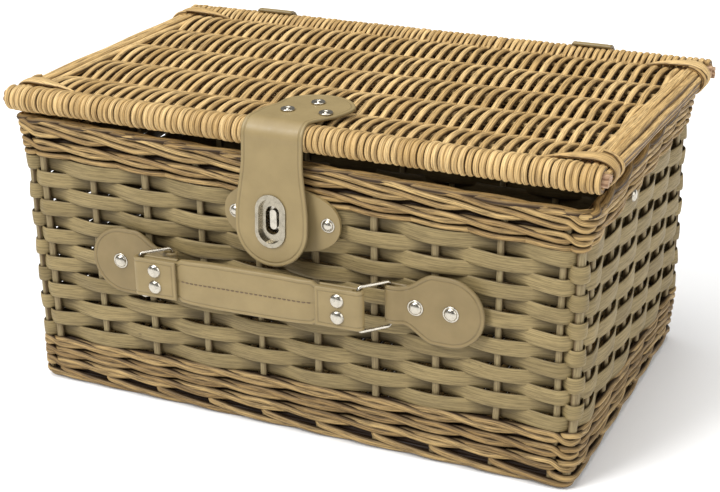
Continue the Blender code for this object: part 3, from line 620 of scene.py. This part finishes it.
def make_strips():
    """The flat split strips between the walings, in front of one stake and behind the next."""
    pitch = (WEAVE_TOP - LOWER_TOP) / STRIP_ROWS
    short, medium, long = 4 * MM, 14 * MM, 30 * MM  # how gradually the strips change near a corner
    at_back = smooth(BACK_RIGHT[0] - short, BACK_RIGHT[1], STATIONS) + 1
    to_back = at_back - smooth(BACK_LEFT[0], BACK_LEFT[1] + short, STATIONS)
    hidden = at_back - smooth(FRONT_LEFT[0] - long, FRONT_LEFT[0], STATIONS)
    beside = smooth(FRONT_RIGHT[1], FRONT_RIGHT[1] + medium, STATIONS)
    beside = beside * (1 - smooth(BACK_RIGHT[0] - medium, BACK_RIGHT[0], STATIONS))
    overlap = STRIP_OVERLAP + BACK_OVERLAP * hidden + SIDE_OVERLAP * beside
    # Painted shade: on the strips' inner faces, and through level on a strip's outer face behind a stake and
    # its inner face in front of one.
    strands = Strands(inner_shade=0.7)
    for row in range(STRIP_ROWS):
        swing = np.cos(math.pi * PASSED) * (-1) ** row
        out = swing * STRIP_SWING * (1 - 0.3 * to_back) + wander(ROUND, 17, 0.15 * MM)
        height = LOWER_TOP + (row + 0.5) * pitch + wander(ROUND, 9, 0.35 * MM)
        path, outward = wall_path(STATIONS, out, height)
        outward[:, 2] = wander(ROUND, 13, 0.09)
        half_width = pitch * overlap / 2 + wander(ROUND, 21, 0.2 * MM)
        size = columns(half_width, STRIP_HALF_THICK)
        strands.add(path, outward, size, STRIP_SECTION, closed=True, level=0.6 * swing)
    strands.build("wall_strips", SPLIT, "basket", "split_willow", "front_weave", "back_weave", "left_weave",
                  "right_weave")


def make_stakes():
    strands = Strands()
    heights = np.linspace(6 * MM, RIM_TOP - 8 * MM, 60)
    for distance, corner in STAKES:
        path, outward = wall_path(distance + wander(heights, 3, 0.5 * MM), 0.0, heights)
        radius = POST_RADIUS if corner else STAKE_RADIUS * rng.uniform(0.9, 1.08)
        strands.add(path, outward, (radius, radius * STAKE_DEPTH), tint=rng.uniform(0.1, 0.75))
    posts = [f"corner_post_{face}_{side}" for face in ("front", "back") for side in SIDES]
    strands.build("wall_stakes", STAKE, "basket", "buff_willow", *posts)


def cycle(values, phase):
    """Reads a repeating list of values at a real-numbered phase, with soft steps between them."""
    values = np.asarray(values, dtype=float)
    whole = np.floor(phase).astype(int)
    weight = (1 - np.cos(math.pi * (phase - whole))) / 2
    return values[whole % len(values)] * (1 - weight) + values[(whole + 1) % len(values)] * weight


def wale(strands, bottom, top, in_front):
    """Rods that each pass in front of some stakes and then behind one, stepping down as they go."""
    thick = (top - bottom) / in_front
    radius = thick * ROD_FILL / 2
    outer = WALL_MIDDLE - radius
    outs = [outer] * in_front + [-ROD_BEHIND]
    heights = [top - thick * (j + 0.5) for j in range(in_front)] + [(top + bottom) / 2]
    slope_at = [0, in_front - 1, in_front, in_front + 1]
    slope = [heights[0], *heights[-2:], heights[0]]
    for rod in range(in_front + 1):
        phase = PASSED + rod + 0.12 * np.sin(TURN * ROUND * 5)
        out = cycle(outs, phase) + wander(ROUND, 11, 0.12 * MM)
        slide = np.interp(np.mod(phase, in_front + 1), slope_at, slope)
        height = 0.55 * cycle(heights, phase) + 0.45 * slide + wander(ROUND, 15, 0.22 * MM)
        path, outward = wall_path(STATIONS, out, height)
        girth = radius * (1.0 + wander(ROUND, 7, 0.06))
        # Painted shade through level: a rod's outer face where it passes behind the stakes, and its inner
        # face where it passes in front.
        level = np.clip((2 * out - outer + ROD_BEHIND) / (outer + ROD_BEHIND), -1, 1)
        strands.add(path, outward, columns(girth * 1.04, girth), closed=True, level=0.9 * level)


def backing(strands, heights, radius=BACKING_RADIUS):
    """Rods that lie behind the ones in front, inside the stakes. Their outward faces are painted fully dark,
    as painted shade in the gaps.
    """
    for height in heights:
        path, outward = wall_path(STATIONS, -BACKING_BEHIND, height + wander(ROUND, 9, 0.3 * MM))
        strands.add(path, outward, radius, closed=True, level=-1.0)


def make_walings():
    rounds = 3
    strands = Strands(WALE_FLANK)
    edges = np.linspace(FOOT_TOP, LOWER_TOP, rounds + 1)
    for bottom, top in zip(edges[:-1], edges[1:]):
        wale(strands, bottom, top, 2)
    backing(strands, np.linspace(FOOT_TOP + 2.2 * MM, LOWER_TOP - 5 * MM, 6))
    strands.build("lower_waling_rods", SHADED_WALE, "basket", "buff_willow", "lower_waling")

    strands = Strands(WALE_FLANK)
    split = WEAVE_TOP + (UPPER_TOP - WEAVE_TOP) * 0.34
    wale(strands, WEAVE_TOP + 0.3 * MM, split, 1)
    wale(strands, split, UPPER_TOP, 2)
    backing(strands, np.linspace(WEAVE_TOP + 2 * MM, UPPER_TOP - 2 * MM, 3))
    strands.build("upper_waling_rods", WALE, "basket", "buff_willow", "upper_waling")


def make_rim():
    """The rim: rods woven outside and in, with two more that wind round each other along its top."""
    strands = Strands(WALE_FLANK)
    wale(strands, UPPER_TOP, RIM_TOP, 3)
    radius = 2.5 * MM
    backing(strands, (UPPER_TOP + radius, (UPPER_TOP + RIM_TOP) / 2, RIM_TOP - 1.6 * radius), radius)
    swing = np.cos(math.pi * PASSED)
    for way in (-1, 1):
        height = RIM_TOP - 2.4 * MM + 0.5 * MM * way * np.roll(swing, 6)
        path, _ = wall_path(STATIONS, 2.1 * MM * way * swing, height)
        strands.add(path, UP, (2.4 * MM, 2.2 * MM), closed=True)
    strands.build("rim_rods", WALE, "basket", "buff_willow", "rim_border")


def make_foot():
    """The foot border: each rod comes down beside a stake and slants along under the next two."""
    # Each knot: how many stakes along, how far out of the stakes' line, and the height over the floor, in mm
    knots = [(-0.05, -1.5, 15.5), (-0.01, 0.6, 12.8), (0.05, 2.2, 10.6), (0.3, 2.5, 8.4), (0.65, 2.5, 6.0),
             (1.0, 2.0, 4.4), (1.4, 0.4, 3.3), (1.8, -1.6, 3.1), (2.1, -3.0, 3.1)]
    along, out, up = spline(knots, 60).T
    strands = Strands(WALE_FLANK)
    backing(strands, np.linspace(3.8 * MM, FOOT_TOP, 4), 2.4 * MM)
    for distance, corner in STAKES:
        if corner:
            continue
        height = up * FOOT_TOP / 12.5 + wander(along / 2, 1, 0.25 * MM)
        path, outward = wall_path(distance + STAKE_PITCH * along, out * MM, height)
        thicker = 0.84 + 0.4 * (path[:, 0] + HALF_X)  # towards the right end
        girth = (1 - 0.07 * along) * rng.uniform(0.95, 1.06) * thicker
        strands.add(path, outward, columns(2.55 * MM * girth, 2.3 * MM * girth))
    strands.build("foot_rods", SHADED_WALE, "basket", "buff_willow", "foot_border")


def cross_weave(strands, half_x, half_y, height, swing, pitch, stick_pitch, radius, lift=None):
    """Close rods along Y, over and under sticks along X. lift raises the rods near their ends."""
    count = int(2 * half_x / pitch)
    y = np.linspace(-half_y, half_y, 96)
    for i in range(count):
        wave = np.cos(math.pi * y / stick_pitch) * (-1) ** i
        z = height + swing * wave
        if lift is not None:
            z = z + (lift - z) * smooth(half_y - 14 * MM, half_y - 3 * MM, np.abs(y))
        x = (i - (count - 1) / 2) * pitch + wander(y / (2 * half_y), 2, 0.35 * MM)
        girth = radius * rng.uniform(0.93, 1.1)
        path = columns(x, y + MID_Y, z + rng.uniform(-0.25, 0.25) * MM)
        # Painted shade through level: a rod's top where it dips under a stick, and its underside where it
        # rides over one.
        strands.add(path, UP, (girth, girth * 0.96), level=0.95 * wave)


def cross_sticks(strands, half_x, height, pitch, radius):
    x = np.linspace(-half_x, half_x, 80)
    for i in range(-2, 3):
        path = columns(x, MID_Y + pitch * i + wander(x / (2 * half_x), 2, 0.5 * MM), height)
        strands.add(path, UP, radius)


def make_base():
    half_x = high("base_panel")[0] - 1 * MM
    half_y = (high("base_panel") - low("base_panel"))[1] / 2
    height = centre("base_panel")[2]
    stick_pitch = 36 * MM
    strands = Strands()
    cross_weave(strands, half_x, half_y, height, 1.3 * MM, 3.7 * MM, stick_pitch, 2.1 * MM)
    cross_sticks(strands, half_x, height, stick_pitch, 1.4 * MM)
    strands.build("base_rods", WALE, "basket", "split_willow", "base_panel")


# ---- lid


def make_lid_weave():
    height = centre("lid_weave")[2]
    half_x = high("lid_weave")[0] + 1 * MM
    strands = LidStrands()
    cross_weave(strands, half_x, ROLL_Y - 4 * MM, height, LID_SWING, LID_ROD_PITCH, LID_STICK_PITCH,
                2.15 * MM, lift=ROLL_Z + 2 * MM)
    strands.build("lid_rods", BUFF, "lid", "buff_willow", "lid_weave")
    strands = LidStrands()
    cross_sticks(strands, half_x + 3 * MM, height, LID_STICK_PITCH, 2.4 * MM)
    strands.build("lid_sticks", BUFF, "lid", "buff_willow")


def make_roll(side, facing):
    """An edge roll: a core of rods, bound round by others that run on into the lid."""
    radius = ROLL_RADIUS - WRAP_RADIUS
    turn = np.radians(np.linspace(-168, 90, 40))
    tail = np.linspace(0.1, 1, 10)
    out = np.concatenate([radius * np.cos(turn), -WRAP_TAIL * tail])
    up = np.concatenate([radius * np.sin(turn), radius - 4.0 * MM * tail ** 2])
    round_roll = columns(0.0, facing * np.cos(turn), np.sin(turn))
    normals = np.concatenate([round_roll, np.tile(UP, (len(tail), 1))])
    taper = 1 - 0.35 * np.concatenate([0 * turn, tail])
    travel = np.linspace(-0.5, 0.5, len(out))
    strands = LidStrands()
    count = int(2 * (LID_HALF_X - 2 * MM) / WRAP_PITCH)
    for i in range(count):
        x = (i - (count - 1) / 2) * WRAP_PITCH + rng.uniform(-0.35, 0.35) * MM
        at_end = abs(x) > high("lid_weave")[0] - 2 * MM
        keep = slice(0, len(turn) + 2) if at_end else slice(0, None)  # over an end bundle a wrap stops short
        slant = rng.uniform(0.2, 1.3) * MM
        grow = 1 + rng.uniform(-0.03, 0.05)
        path = columns(x + slant * travel, MID_Y + facing * (ROLL_Y + out * grow), ROLL_Z + up * grow)
        size = columns(WRAP_PITCH * rng.uniform(0.465, 0.52) * taper, WRAP_RADIUS * taper)
        strands.add(path[keep], normals[keep], size[keep])
    strands.build(f"{side}_roll_wraps", BUFF, "lid", "buff_willow", f"lid_{side}_roll")

    core = LidStrands()
    x = np.linspace(-LID_HALF_X, LID_HALF_X, 60)
    for angle in np.radians((20, 110, 200, 290)):
        path = columns(x * rng.uniform(0.992, 1.0), MID_Y + facing * ROLL_Y + CORE_SPREAD * math.cos(angle),
                       ROLL_Z + CORE_SPREAD * math.sin(angle))
        core.add(path, UP, CORE_RADIUS)
    core.build(f"{side}_roll_core", ROD_END, "lid", "buff_willow")


def make_lid_end(side, sx):
    """A bundle of long rods along an end of the lid."""
    mid_x, _, mid_z = centre(f"lid_end_{side}")
    y = np.linspace(-ROLL_Y + 6 * MM, ROLL_Y - 6 * MM, 70)
    squeeze = (1 - 0.16 * np.abs(y / ROLL_Y) ** 2) * MM
    t = y / (2 * ROLL_Y)
    # Each rod: how far out and up it lies from the bundle's middle, and its radius, in mm
    bundle = [(-6.2, 3.2, 2.5), (-1.4, 4.5, 2.7), (3.6, 4.0, 2.8), (7.2, 0.8, 2.6), (6.0, -3.8, 2.5),
              (0.9, -4.3, 2.6), (-4.4, -4.0, 2.5), (-2.6, -0.1, 2.8), (2.4, 0.1, 2.8)]
    strands = LidStrands()
    for out, up, radius in bundle:
        path = columns(mid_x + sx * (out * squeeze + wander(t, 1, 0.7 * MM)), y + MID_Y,
                       mid_z + up * squeeze + wander(t, 1, 0.4 * MM))
        strands.add(path, UP, radius * MM)
    strands.build(f"lid_end_rods_{side}", BUFF, "lid", "buff_willow", f"lid_end_{side}")


def make_corner(face, facing, side, sx):
    """Two flattened rods that come along the lid to a corner and bind the end bundle there."""
    outer, _, top = high("lid_end_right") / MM + (1.6, 0, 1.2)
    bottom = low("lid_end_right")[2] / MM - 1.0
    over = [(-42, -4.5), (-32, -1.8), (-21, -0.2), (-11, 0.3), (-4, -1.4), (0.4, -6), (0, -11)]
    under = [(-5, 0), (-14, -0.6), (-24, 0.2)]
    knots = [(outer + u, top + v) for u, v in over] + [(outer + u, bottom + v) for u, v in under]
    x, z = spline(knots, 60).T * MM
    outward = columns(-sx * np.gradient(z), 0.0, np.gradient(x))
    share = np.linspace(0, 1, len(x))
    waist = 1 - 0.35 * smooth(0.4, 0.6, share)
    strands = LidStrands()
    for inset, wide, start in ((13.5 * MM, 6.2 * MM, 0), (23.0 * MM, 3.6 * MM, 20)):
        path = columns(sx * x, MID_Y + facing * (ROLL_Y - inset - 1.5 * MM * share), z)
        width = wide * (0.08 + 0.92 * smooth(0, 0.30, share - share[start])) * waist
        parts = path[start:], outward[start:], columns(width, 1.35 * MM)[start:]
        if sx * facing > 0:
            parts = [part[::-1] for part in parts]
        strands.add(*parts)
    corner = f"{face}_{side}"
    strands.build(f"corner_binding_{corner}", BUFF, "lid", "buff_willow", f"lid_corner_wrap_{corner}")


# ---- leather


class Bend:
    """A path that flat leather is laid along. Its outer face is on the side of tangent x across."""

    def __init__(self, points, across):
        self.points = np.asarray(points, dtype=float)
        self.run = travelled(self.points)
        self.length = self.run[-1]
        self.across = np.asarray(across, dtype=float)
        self.normals = unit(np.cross(np.gradient(self.points, self.run, axis=0), self.across))

    def read(self, values, s):
        return columns(*[np.interp(s, self.run, values[:, k]) for k in range(3)])

    def middle(self, s):
        return self.read(self.points, s)

    def normal(self, s):
        return unit(self.read(self.normals, s))


def side_view(y, z):
    """A point in the plane that the straps bend in."""
    return np.array([0, y, z])


def line(start, end, step=1.0 * MM):
    """Points from start to end, without end itself."""
    start, end = np.asarray(start, dtype=float), np.asarray(end, dtype=float)
    count = max(2, int(np.linalg.norm(end - start) / step))
    return [start + (end - start) * i / count for i in range(count)]


def arc(middle, radius, from_degrees, to_degrees, place, count=28):
    """Points of an arc. place turns its two coordinates into a point."""
    angles = np.radians(np.linspace(from_degrees, to_degrees, count))
    return [place(middle[0] + radius * math.cos(a), middle[1] + radius * math.sin(a)) for a in angles]


def folded(front, bar_y, end, place):
    """Points of a sheet that comes along its front, turns round a ring's bar and runs back to its end."""
    fold = arc((0, bar_y), FOLD_RADIUS, 270, 90, place, 20)
    return front + fold + line(fold[-1], place(end, bar_y + FOLD_RADIUS))[1:]


def round_end(radius, distance):
    """Half the width of a strap with a round end, at distances from that end."""
    inner_shade = np.clip(distance, 0, radius)
    return np.sqrt(np.clip(radius ** 2 - (radius - inner_shade) ** 2, (0.03 * MM) ** 2, None))


def edge_distance(points, outline):
    """How far each point is from a closed outline."""
    along = np.roll(outline, -1, axis=0) - outline
    length2 = np.clip(np.sum(along ** 2, axis=1), 1e-12, None)
    nearest = []
    for some in np.array_split(points, len(points) // 4000 + 1):
        part = some[:, None] - outline
        t = np.clip(np.sum(part * along, axis=2) / length2, 0, 1)
        nearest.append(np.sqrt(np.min(np.sum((part - t[:, :, None] * along) ** 2, axis=2), axis=1)))
    return np.concatenate(nearest)


def graded(length, fine, fine_step, coarse_step, both=True):
    """Stations from 0 to length, fine near the start, and near the end too if both is set."""
    fine = min(fine, length / 2 if both else length)
    near = np.concatenate([[0, 0.1 * MM, 0.25 * MM], np.arange(0.45 * MM, fine, fine_step)])
    far = length - fine if both else length
    count = max(2, int((far - near[-1]) / coarse_step)) + 1
    stations = [near, np.linspace(near[-1], far, count)]
    if both:
        stations.append(length - near)
    return np.unique(np.round(np.concatenate(stations), 7))


def measure(size, s):
    """A size at places along a bend. It is one number, or a function of the place."""
    return size(s) if callable(size) else np.full(len(s), size)


def ridge(distance, width):
    """1 at no distance, and soon nothing beyond the width."""
    return np.exp(-(distance / width) ** 2)


def hide(name, bend, half, middle=0.0, thickness=LEATHER, fine_end=4 * MM, valley=0.0, window=None,
         look=HIDE):
    """A leather strap or plate with rubbed edges and a pressed line that follows its outline.

    half and middle give half its width and the middle of its width along the bend. valley is the depth of a
    hollow along its middle line. window tells which of its points are cut away.
    """
    s = graded(bend.length, fine_end, 0.42 * MM, 1.1 * MM)
    widths, middles = measure(half, s), measure(middle, s)
    widest = widths.max()
    share = 1 - graded(widest, 7 * MM, 0.4 * MM, 1.5 * MM, both=False) / widest
    t = np.concatenate([-share, share[::-1][1:]])
    u = middles[:, None] + widths[:, None] * t
    flat = columns(s[:, None], u).reshape(-1, 2)
    outline = np.concatenate([columns(s, middles + widths), columns(s, middles - widths)[::-1]])
    distance = edge_distance(flat, outline)
    rise = np.sqrt(1 - (1 - np.clip(distance / EDGE_ROUNDING, 0, 1)) ** 2)
    bottom = measure(thickness, flat[:, 0]) / 2 * rise
    top = bottom - GROOVE_DEPTH * ridge(distance - GROOVE_INSET, GROOVE_WIDTH)
    top = top - valley * ridge(flat[:, 1], 1.3 * MM)
    base = bend.middle(flat[:, 0]) + bend.across * flat[:, 1:]
    normal = bend.normal(flat[:, 0])
    points = np.concatenate([base + normal * top[:, None], base - normal * bottom[:, None]])

    rows, across = u.shape
    face = grid(rows, across)[:, [0, 3, 2, 1]]
    if window:
        face = face[~np.any(window(flat)[face], axis=1)]
    lower = rows * across
    edges = np.concatenate([np.roll(face, -k, axis=1)[:, :2] for k in range(4)])
    _, first, used = np.unique(np.sort(edges, axis=1), axis=0, return_index=True, return_counts=True)
    border = edges[first[used == 1]]
    walls = np.hstack([border[:, ::-1], border + lower])
    faces = np.concatenate([face, face[:, ::-1] + lower, walls]).tolist()
    obj = make_object(name, points, faces, look)
    grain = columns(*flat.T, top)
    attribute(obj.data, "grain", np.concatenate([grain, grain * (1, 1, -1)]))
    rubbed = np.maximum(ridge(distance, 0.8 * MM), 0.8 * ridge(distance - GROOVE_INSET, 0.6 * MM))
    attribute(obj.data, "edge", np.tile(rubbed, 2))
    weld(obj.data)
    return obj


def make_hasp():
    """The strap riveted to the lid, which turns down over its front roll and ends in the eyelet's tongue."""
    corner = 180 - math.degrees(math.asin((HASP_PIVOT[2] - ROLL_Z) / STRAP_RADIUS))
    over = arc((ROLL_FRONT, ROLL_Z), STRAP_RADIUS, 90, corner, side_view)
    bottom = HASP_PIVOT * (0, 1, 1) + HASP_DOWN * HASP_LENGTH
    points = line((0, HEAD_BACK, STRAP_TOP), over[0]) + over + line(over[-1], bottom)[1:] + [bottom]
    bend = Bend(points, RIGHT)
    head_length = HEAD_BACK - ROLL_FRONT
    tongue_start = bend.length - HASP_LENGTH

    def half(s):
        at_roll = smooth(head_length - 25 * MM, head_length + 2 * MM, s)
        head = HASP_HALF + (round_end(HEAD_HALF, s) - HASP_HALF) * (1 - at_roll)
        tongue = HASP_HALF + (TONGUE_HALF - HASP_HALF) * smooth(10 * MM, 50 * MM, s - tongue_start)
        return np.minimum(np.where(s < head_length, head, tongue), round_end(TONGUE_HALF, bend.length - s))

    def middle(s):
        return HASP_X + (HEAD_X - HASP_X) * (1 - smooth(head_length - 31 * MM, head_length + 4 * MM, s))

    def window(flat):
        """The oval that the eyelet's bowl fills."""
        half_x, _, half_z = (high("hasp_eyelet") - low("hasp_eyelet")) / 2 - EYELET_LIP
        u = np.abs(flat[:, 1] - HASP_X)
        v = np.clip(np.abs(flat[:, 0] - tongue_start - EYELET_DROP) - (half_z - half_x), 0, None)
        return np.hypot(u, v) < half_x

    obj = hide("hasp_strap", bend, half, middle, fine_end=44 * MM, window=window)
    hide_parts("hasp_head", "hasp_tongue")
    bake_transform(obj)


def make_hinge(side):
    """A strap tucked into the lid's back, turned down round the roll and riveted to the back wall."""
    upper, lower = f"hinge_strap_upper_{side}", f"hinge_strap_lower_{side}"
    x = centre(upper)[0]
    half_width = (high(upper) - low(upper))[0] / 2
    bottom = side_view(WALL_STRAP_Y, low(lower)[2])
    over = arc((ROLL_BACK, ROLL_Z), STRAP_RADIUS, 104, -15, side_view)
    knots = [over[-1], side_view(ROLL_BACK + HINGE_BULGE, HINGE_Z)]
    for out, down in ((0.5 * MM, 4.5 * MM), (0, 9.5 * MM)):
        knots.append(side_view(WALL_STRAP_Y + out, HINGE_Z - down))
    points = over + list(spline(knots, 16)[1:])
    points += line(points[-1], bottom)[1:] + [bottom]
    bend = Bend(np.array(points) + (x, 0, 0), (-1, 0, 0))

    def half(s):
        return round_end(half_width, bend.length - s)

    obj = hide(f"hinge_strap_{side}", bend, half, fine_end=15 * MM)
    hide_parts(upper, lower)
    start, end = [(x, WALL_STRAP_Y, HINGE_Z + up * MM) for up in (3.5, -3.5)]
    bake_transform(obj)
    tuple(start)
    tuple(end)


def make_tab(side, away):
    """A pear-shaped tab on the wall, whose narrow end goes round the fixed bar of a ring."""

    def place(u, y):
        return np.array([RING_X[side] + away * u, y, TAB_Z[side]])

    def half(s):
        pear = TAB_NECK + (TAB_HALF - TAB_NECK) * smooth(*TAB_SHOULDER, TAB_LENGTH - s)
        return np.minimum(pear, round_end(TAB_HALF, s))

    bulge = RING_Y - FOLD_RADIUS - TAB_FRONT_Y
    distances = np.linspace(TAB_LENGTH, 0, 62)[:-1]
    front = [place(u, TAB_FRONT_Y + bulge * (1 - smooth(*TAB_BULGE, u))) for u in distances]
    bend = Bend(folded(front, RING_Y, TAB_RETURN, place), (0, 0, -away))
    obj = hide(f"handle_tab_leather_{side}", bend, half, fine_end=24 * MM, look=TAB_HIDE)
    settle_in(obj, "basket", "leather", f"handle_tab_{side}")


def handle_height(x):
    return HANDLE_LOW + HANDLE_RISE * (x - HANDLE_LEFT) / (HANDLE_RIGHT - HANDLE_LEFT)


def make_handle():
    xs = np.linspace(HANDLE_LEFT + HANDLE_CUT, HANDLE_RIGHT - HANDLE_CUT, 160)
    bend = Bend(columns(xs, HANDLE_Y, handle_height(xs)), UP)
    mouth = HANDLE_END_LENGTH

    def inset(s):
        return np.minimum(s, bend.length - s) + HANDLE_CUT

    def half(s):
        """Narrow inside the folded ends, and a little wider than they are outside them."""
        outside = smooth(mouth - 1 * MM, mouth + 3 * MM, inset(s))
        to_middle = (HANDLE_HALF - HANDLE_MOUTH_HALF) * smooth(mouth, 2 * mouth, inset(s))
        return HANDLE_TUCKED_HALF + (HANDLE_MOUTH_HALF - HANDLE_TUCKED_HALF) * outside + to_middle

    def thickness(s):
        return HANDLE_THIN + HANDLE_PADDING * smooth(mouth, mouth + 12 * MM, inset(s))

    obj = hide("handle_leather", bend, half, thickness=thickness, valley=HANDLE_VALLEY)
    settle_in(obj, "handle", "leather", "handle_strap")

    stitches = Strands()
    first = STITCH_START - HANDLE_CUT
    for start in np.arange(first, bend.length - first, STITCH_PITCH):
        run = np.linspace(start, start + STITCH_LENGTH, 8)
        arch = 0.42 * MM * np.sin(math.pi * (run - start) / STITCH_LENGTH)
        height = thickness(run) / 2 - 0.54 * MM + arch
        path = bend.middle(run) + bend.normal(run) * height[:, None]
        stitches.add(path, FRONT, (0.36 * MM, 0.3 * MM))
    stitches.build("handle_stitches", THREAD, "handle", "leather")


def make_handle_end(side, inward):
    """A sheet folded round a ring's bar, with the strap's end between its halves."""
    bar = HANDLE_LEFT if side == "left" else HANDLE_RIGHT

    def place(u, y):
        x = bar + inward * u
        return np.array([x, y, handle_height(x)])

    front_y = HANDLE_Y - FOLD_RADIUS
    front = line(place(HANDLE_END_LENGTH, front_y), place(0, front_y))
    bend = Bend(folded(front, HANDLE_Y, HANDLE_END_LENGTH, place), (0, 0, -inward))
    obj = hide(f"handle_end_leather_{side}", bend, HANDLE_END_HALF)
    settle_in(obj, "handle", "leather", f"handle_end_{side}")


# ---- metal


def dome(radius, height, base):
    """A profile from a dome's rim up to its middle."""
    angles = np.linspace(0, math.pi / 2, 9)
    return [(max(radius * math.cos(a), 0.01), base + height * math.sin(a)) for a in angles]


def plain_dome(radius, height):
    return [(radius, 0.0), (radius, 0.3)] + dome(radius - 0.1, height, 0.35)


def washer_dome(radius, washer):
    """A domed rivet in a raised washer."""
    lip = [(washer, 0.0), (washer, 0.3), (washer - 0.3, 0.5), (radius + 0.15, 0.3), (radius, 0.35)]
    return lip + dome(radius, 2.1, 0.4)


def cupped(radius):
    """A rivet with a rolled rim and a small button in a hollow."""
    return [(radius, 0.0), (radius, 0.8), (radius - 0.35, 1.25), (radius - 0.9, 1.2), (radius - 1.5, 0.7),
            (radius - 1.9, 0.55), (1.3, 0.5), (1.2, 0.9), (0.8, 1.2), (0.01, 1.3)]


def make_rivets(name, body, facing, profile, *nodes):
    """One mesh of turned rivets, each in the place of a CAD rivet, looking the way that its head looks.

    profile holds radii and heights in mm and ends on the axis.
    """
    ring = np.array(circle(36))
    shape = np.concatenate([columns(*ring.T * r, z) for r, z in profile]) * MM
    turn = np.array(Vector(UP).rotation_difference(Vector(facing)).to_matrix())
    axis = int(np.argmax(np.abs(facing)))
    points, faces = [], []
    for i, node in enumerate(nodes):
        seat = centre(node)
        seat[axis] = (high(node) if facing[axis] > 0 else low(node))[axis] - RIVET_HEAD * facing[axis]
        spin = rng.uniform(0, math.pi)
        cos, sin = math.cos(spin), math.sin(spin)
        twist = np.array([(cos, -sin, 0), (sin, cos, 0), UP])
        points.append(shape @ twist.T @ turn.T + seat)
        faces += tube(i * len(shape), len(profile), len(ring))
    obj = make_object(name, np.concatenate(points), faces, NICKEL)
    settle_in(obj, body, "nickel", *nodes)


def make_all_rivets():
    heads = [f"hasp_rivet_{place}" for place in ("left", "back", "right")]
    hinges, tabs, ends = [[f"{start}_rivet_{place}_{side}" for place in places for side in SIDES]
                          for start, places in (("hinge", ("top", "bottom")), ("tab", ("inner", "outer")),
                                                ("handle", ("top", "bottom")))]
    plates = [f"backplate_rivet_{side}" for side in SIDES]
    make_rivets("hasp_head_rivets", "lid", UP, cupped(4.5), *heads)
    make_rivets("back_hinge_rivets", "basket", BACK, cupped(4.3), *hinges)
    make_rivets("backplate_rivets", "basket", FRONT, washer_dome(3.7, 4.6), *plates)
    make_rivets("tab_rivets", "basket", FRONT, washer_dome(4.2, 5.2), *tabs)
    make_rivets("handle_rivets", "handle", FRONT, plain_dome(4.5, 1.9), *ends)
    make_rivets("stay_rivet", "basket", RIGHT, plain_dome(4.0, 1.7), "end_wall_rivet")


def make_ring(side):
    """A rectangular ring of wire."""
    bar = np.array([RING_X[side], RING_Y, RING_Z[side]])
    near, far, half = RING_BEND, RING_REACH - RING_BEND, RING_SPAN / 2 - RING_BEND

    def place(u, v):
        return bar + RING_DIRECTION * u + np.array(UP) * v

    path = []
    for u, v, start in ((far, half, 0), (near, half, 90), (near, -half, 180), (far, -half, 270)):
        path += arc((u, v), RING_BEND, start, start + 90, place, 9)
    wire = Strands()
    wire.add(path, np.cross(RING_DIRECTION, UP), RING_WIRE, circle(16), closed=True)
    wire.build(f"ring_wire_{side}", NICKEL, f"ring_{side}", "nickel", f"handle_ring_{side}")


# ---- light and camera


def make_stage():
    n = Nodes("floor")
    cloud = n.noise(n.place(), (3, 3, 3), detail=2)
    tone = n.mix((0.86, 0.86, 0.86), (0.84, 0.84, 0.84), cloud, (0.3, 0.0), (0.7, 1.0))
    material = n.finish(Base_Color=tone, Roughness=0.9, Emission_Color=(1, 1, 1), Emission_Strength=0.1)
    size = 6.0
    corners = [(-size, -size, 0), (size, -size, 0), (size, size, 0), (-size, size, 0)]
    make_object("floor", corners, [(0, 1, 2, 3)], material)

    world = bpy.data.worlds.new("studio")
    bpy.context.scene.world = world
    world.use_nodes = True
    background = world.node_tree.nodes["Background"]
    background.inputs["Color"].default_value = (1.0, 0.99, 0.97, 1)
    background.inputs["Strength"].default_value = 0.22

    # Each lamp: its name, where it shines from, its strength and how wide it looks in degrees
    lamps = (("key", (-0.55, -0.85, 1.0), 2.4, 22), ("top", (-0.1, -0.1, 1.0), 2.2, 45),
             ("fill", (1.0, -0.25, 0.5), 1.15, 50))
    for name, place, strength, width in lamps:
        data = bpy.data.lights.new(name, "SUN")
        data.energy = strength
        data.angle = math.radians(width)
        lamp = link(bpy.data.objects.new(name, data))
        lamp.rotation_euler = (-Vector(place)).to_track_quat("-Z", "Y").to_euler()
    bpy.context.scene.view_settings.view_transform = "Standard"


def make_camera():
    """A long lens from the front right, a little above, as in a catalogue picture."""
    data = bpy.data.cameras.new("camera")
    data.sensor_width = 36.0
    data.lens = 77.65
    camera = link(bpy.data.objects.new("camera", data))
    camera.location = (0.4241, -0.8994 + MID_Y, 0.5122)
    camera.rotation_euler = np.radians((66.75364, 0.88587, 25.02654))
    bpy.context.scene.camera = camera


def paint_frame():
    """Materials for the CAD pieces that stay in view."""
    looks = {"leather": HIDE, "nickel": NICKEL, "split_willow": SPLIT, "buff_willow": BUFF}
    slots = {part["node"]: part["material_slot"] for part in frame["record"]["subparts"]}
    for name, obj in frame["nodes"].items():
        look = EYELET if name == "hasp_eyelet" else looks[slots[name]]
        for material_slot in obj.material_slots:
            material_slot.material = look
        if not obj.material_slots:
            obj.data.materials.append(look)


make_camera()
make_stage()
paint_frame()
make_strips()
make_stakes()
make_walings()
make_rim()
make_foot()
make_base()
make_lid_weave()
for roll, way in (("front", -1), ("back", 1)):
    make_roll(roll, way)
    for hand, sign in SIDES.items():
        make_corner(roll, way, hand, sign)
for hand, sign in SIDES.items():
    make_lid_end(hand, sign)
    make_tab(hand, sign)
make_hasp()
for hand in SIDES:
    make_hinge(hand)
make_handle()
for hand, sign in SIDES.items():
    make_handle_end(hand, -sign)
for hand in SIDES:
    make_ring(hand)
make_all_rivets()
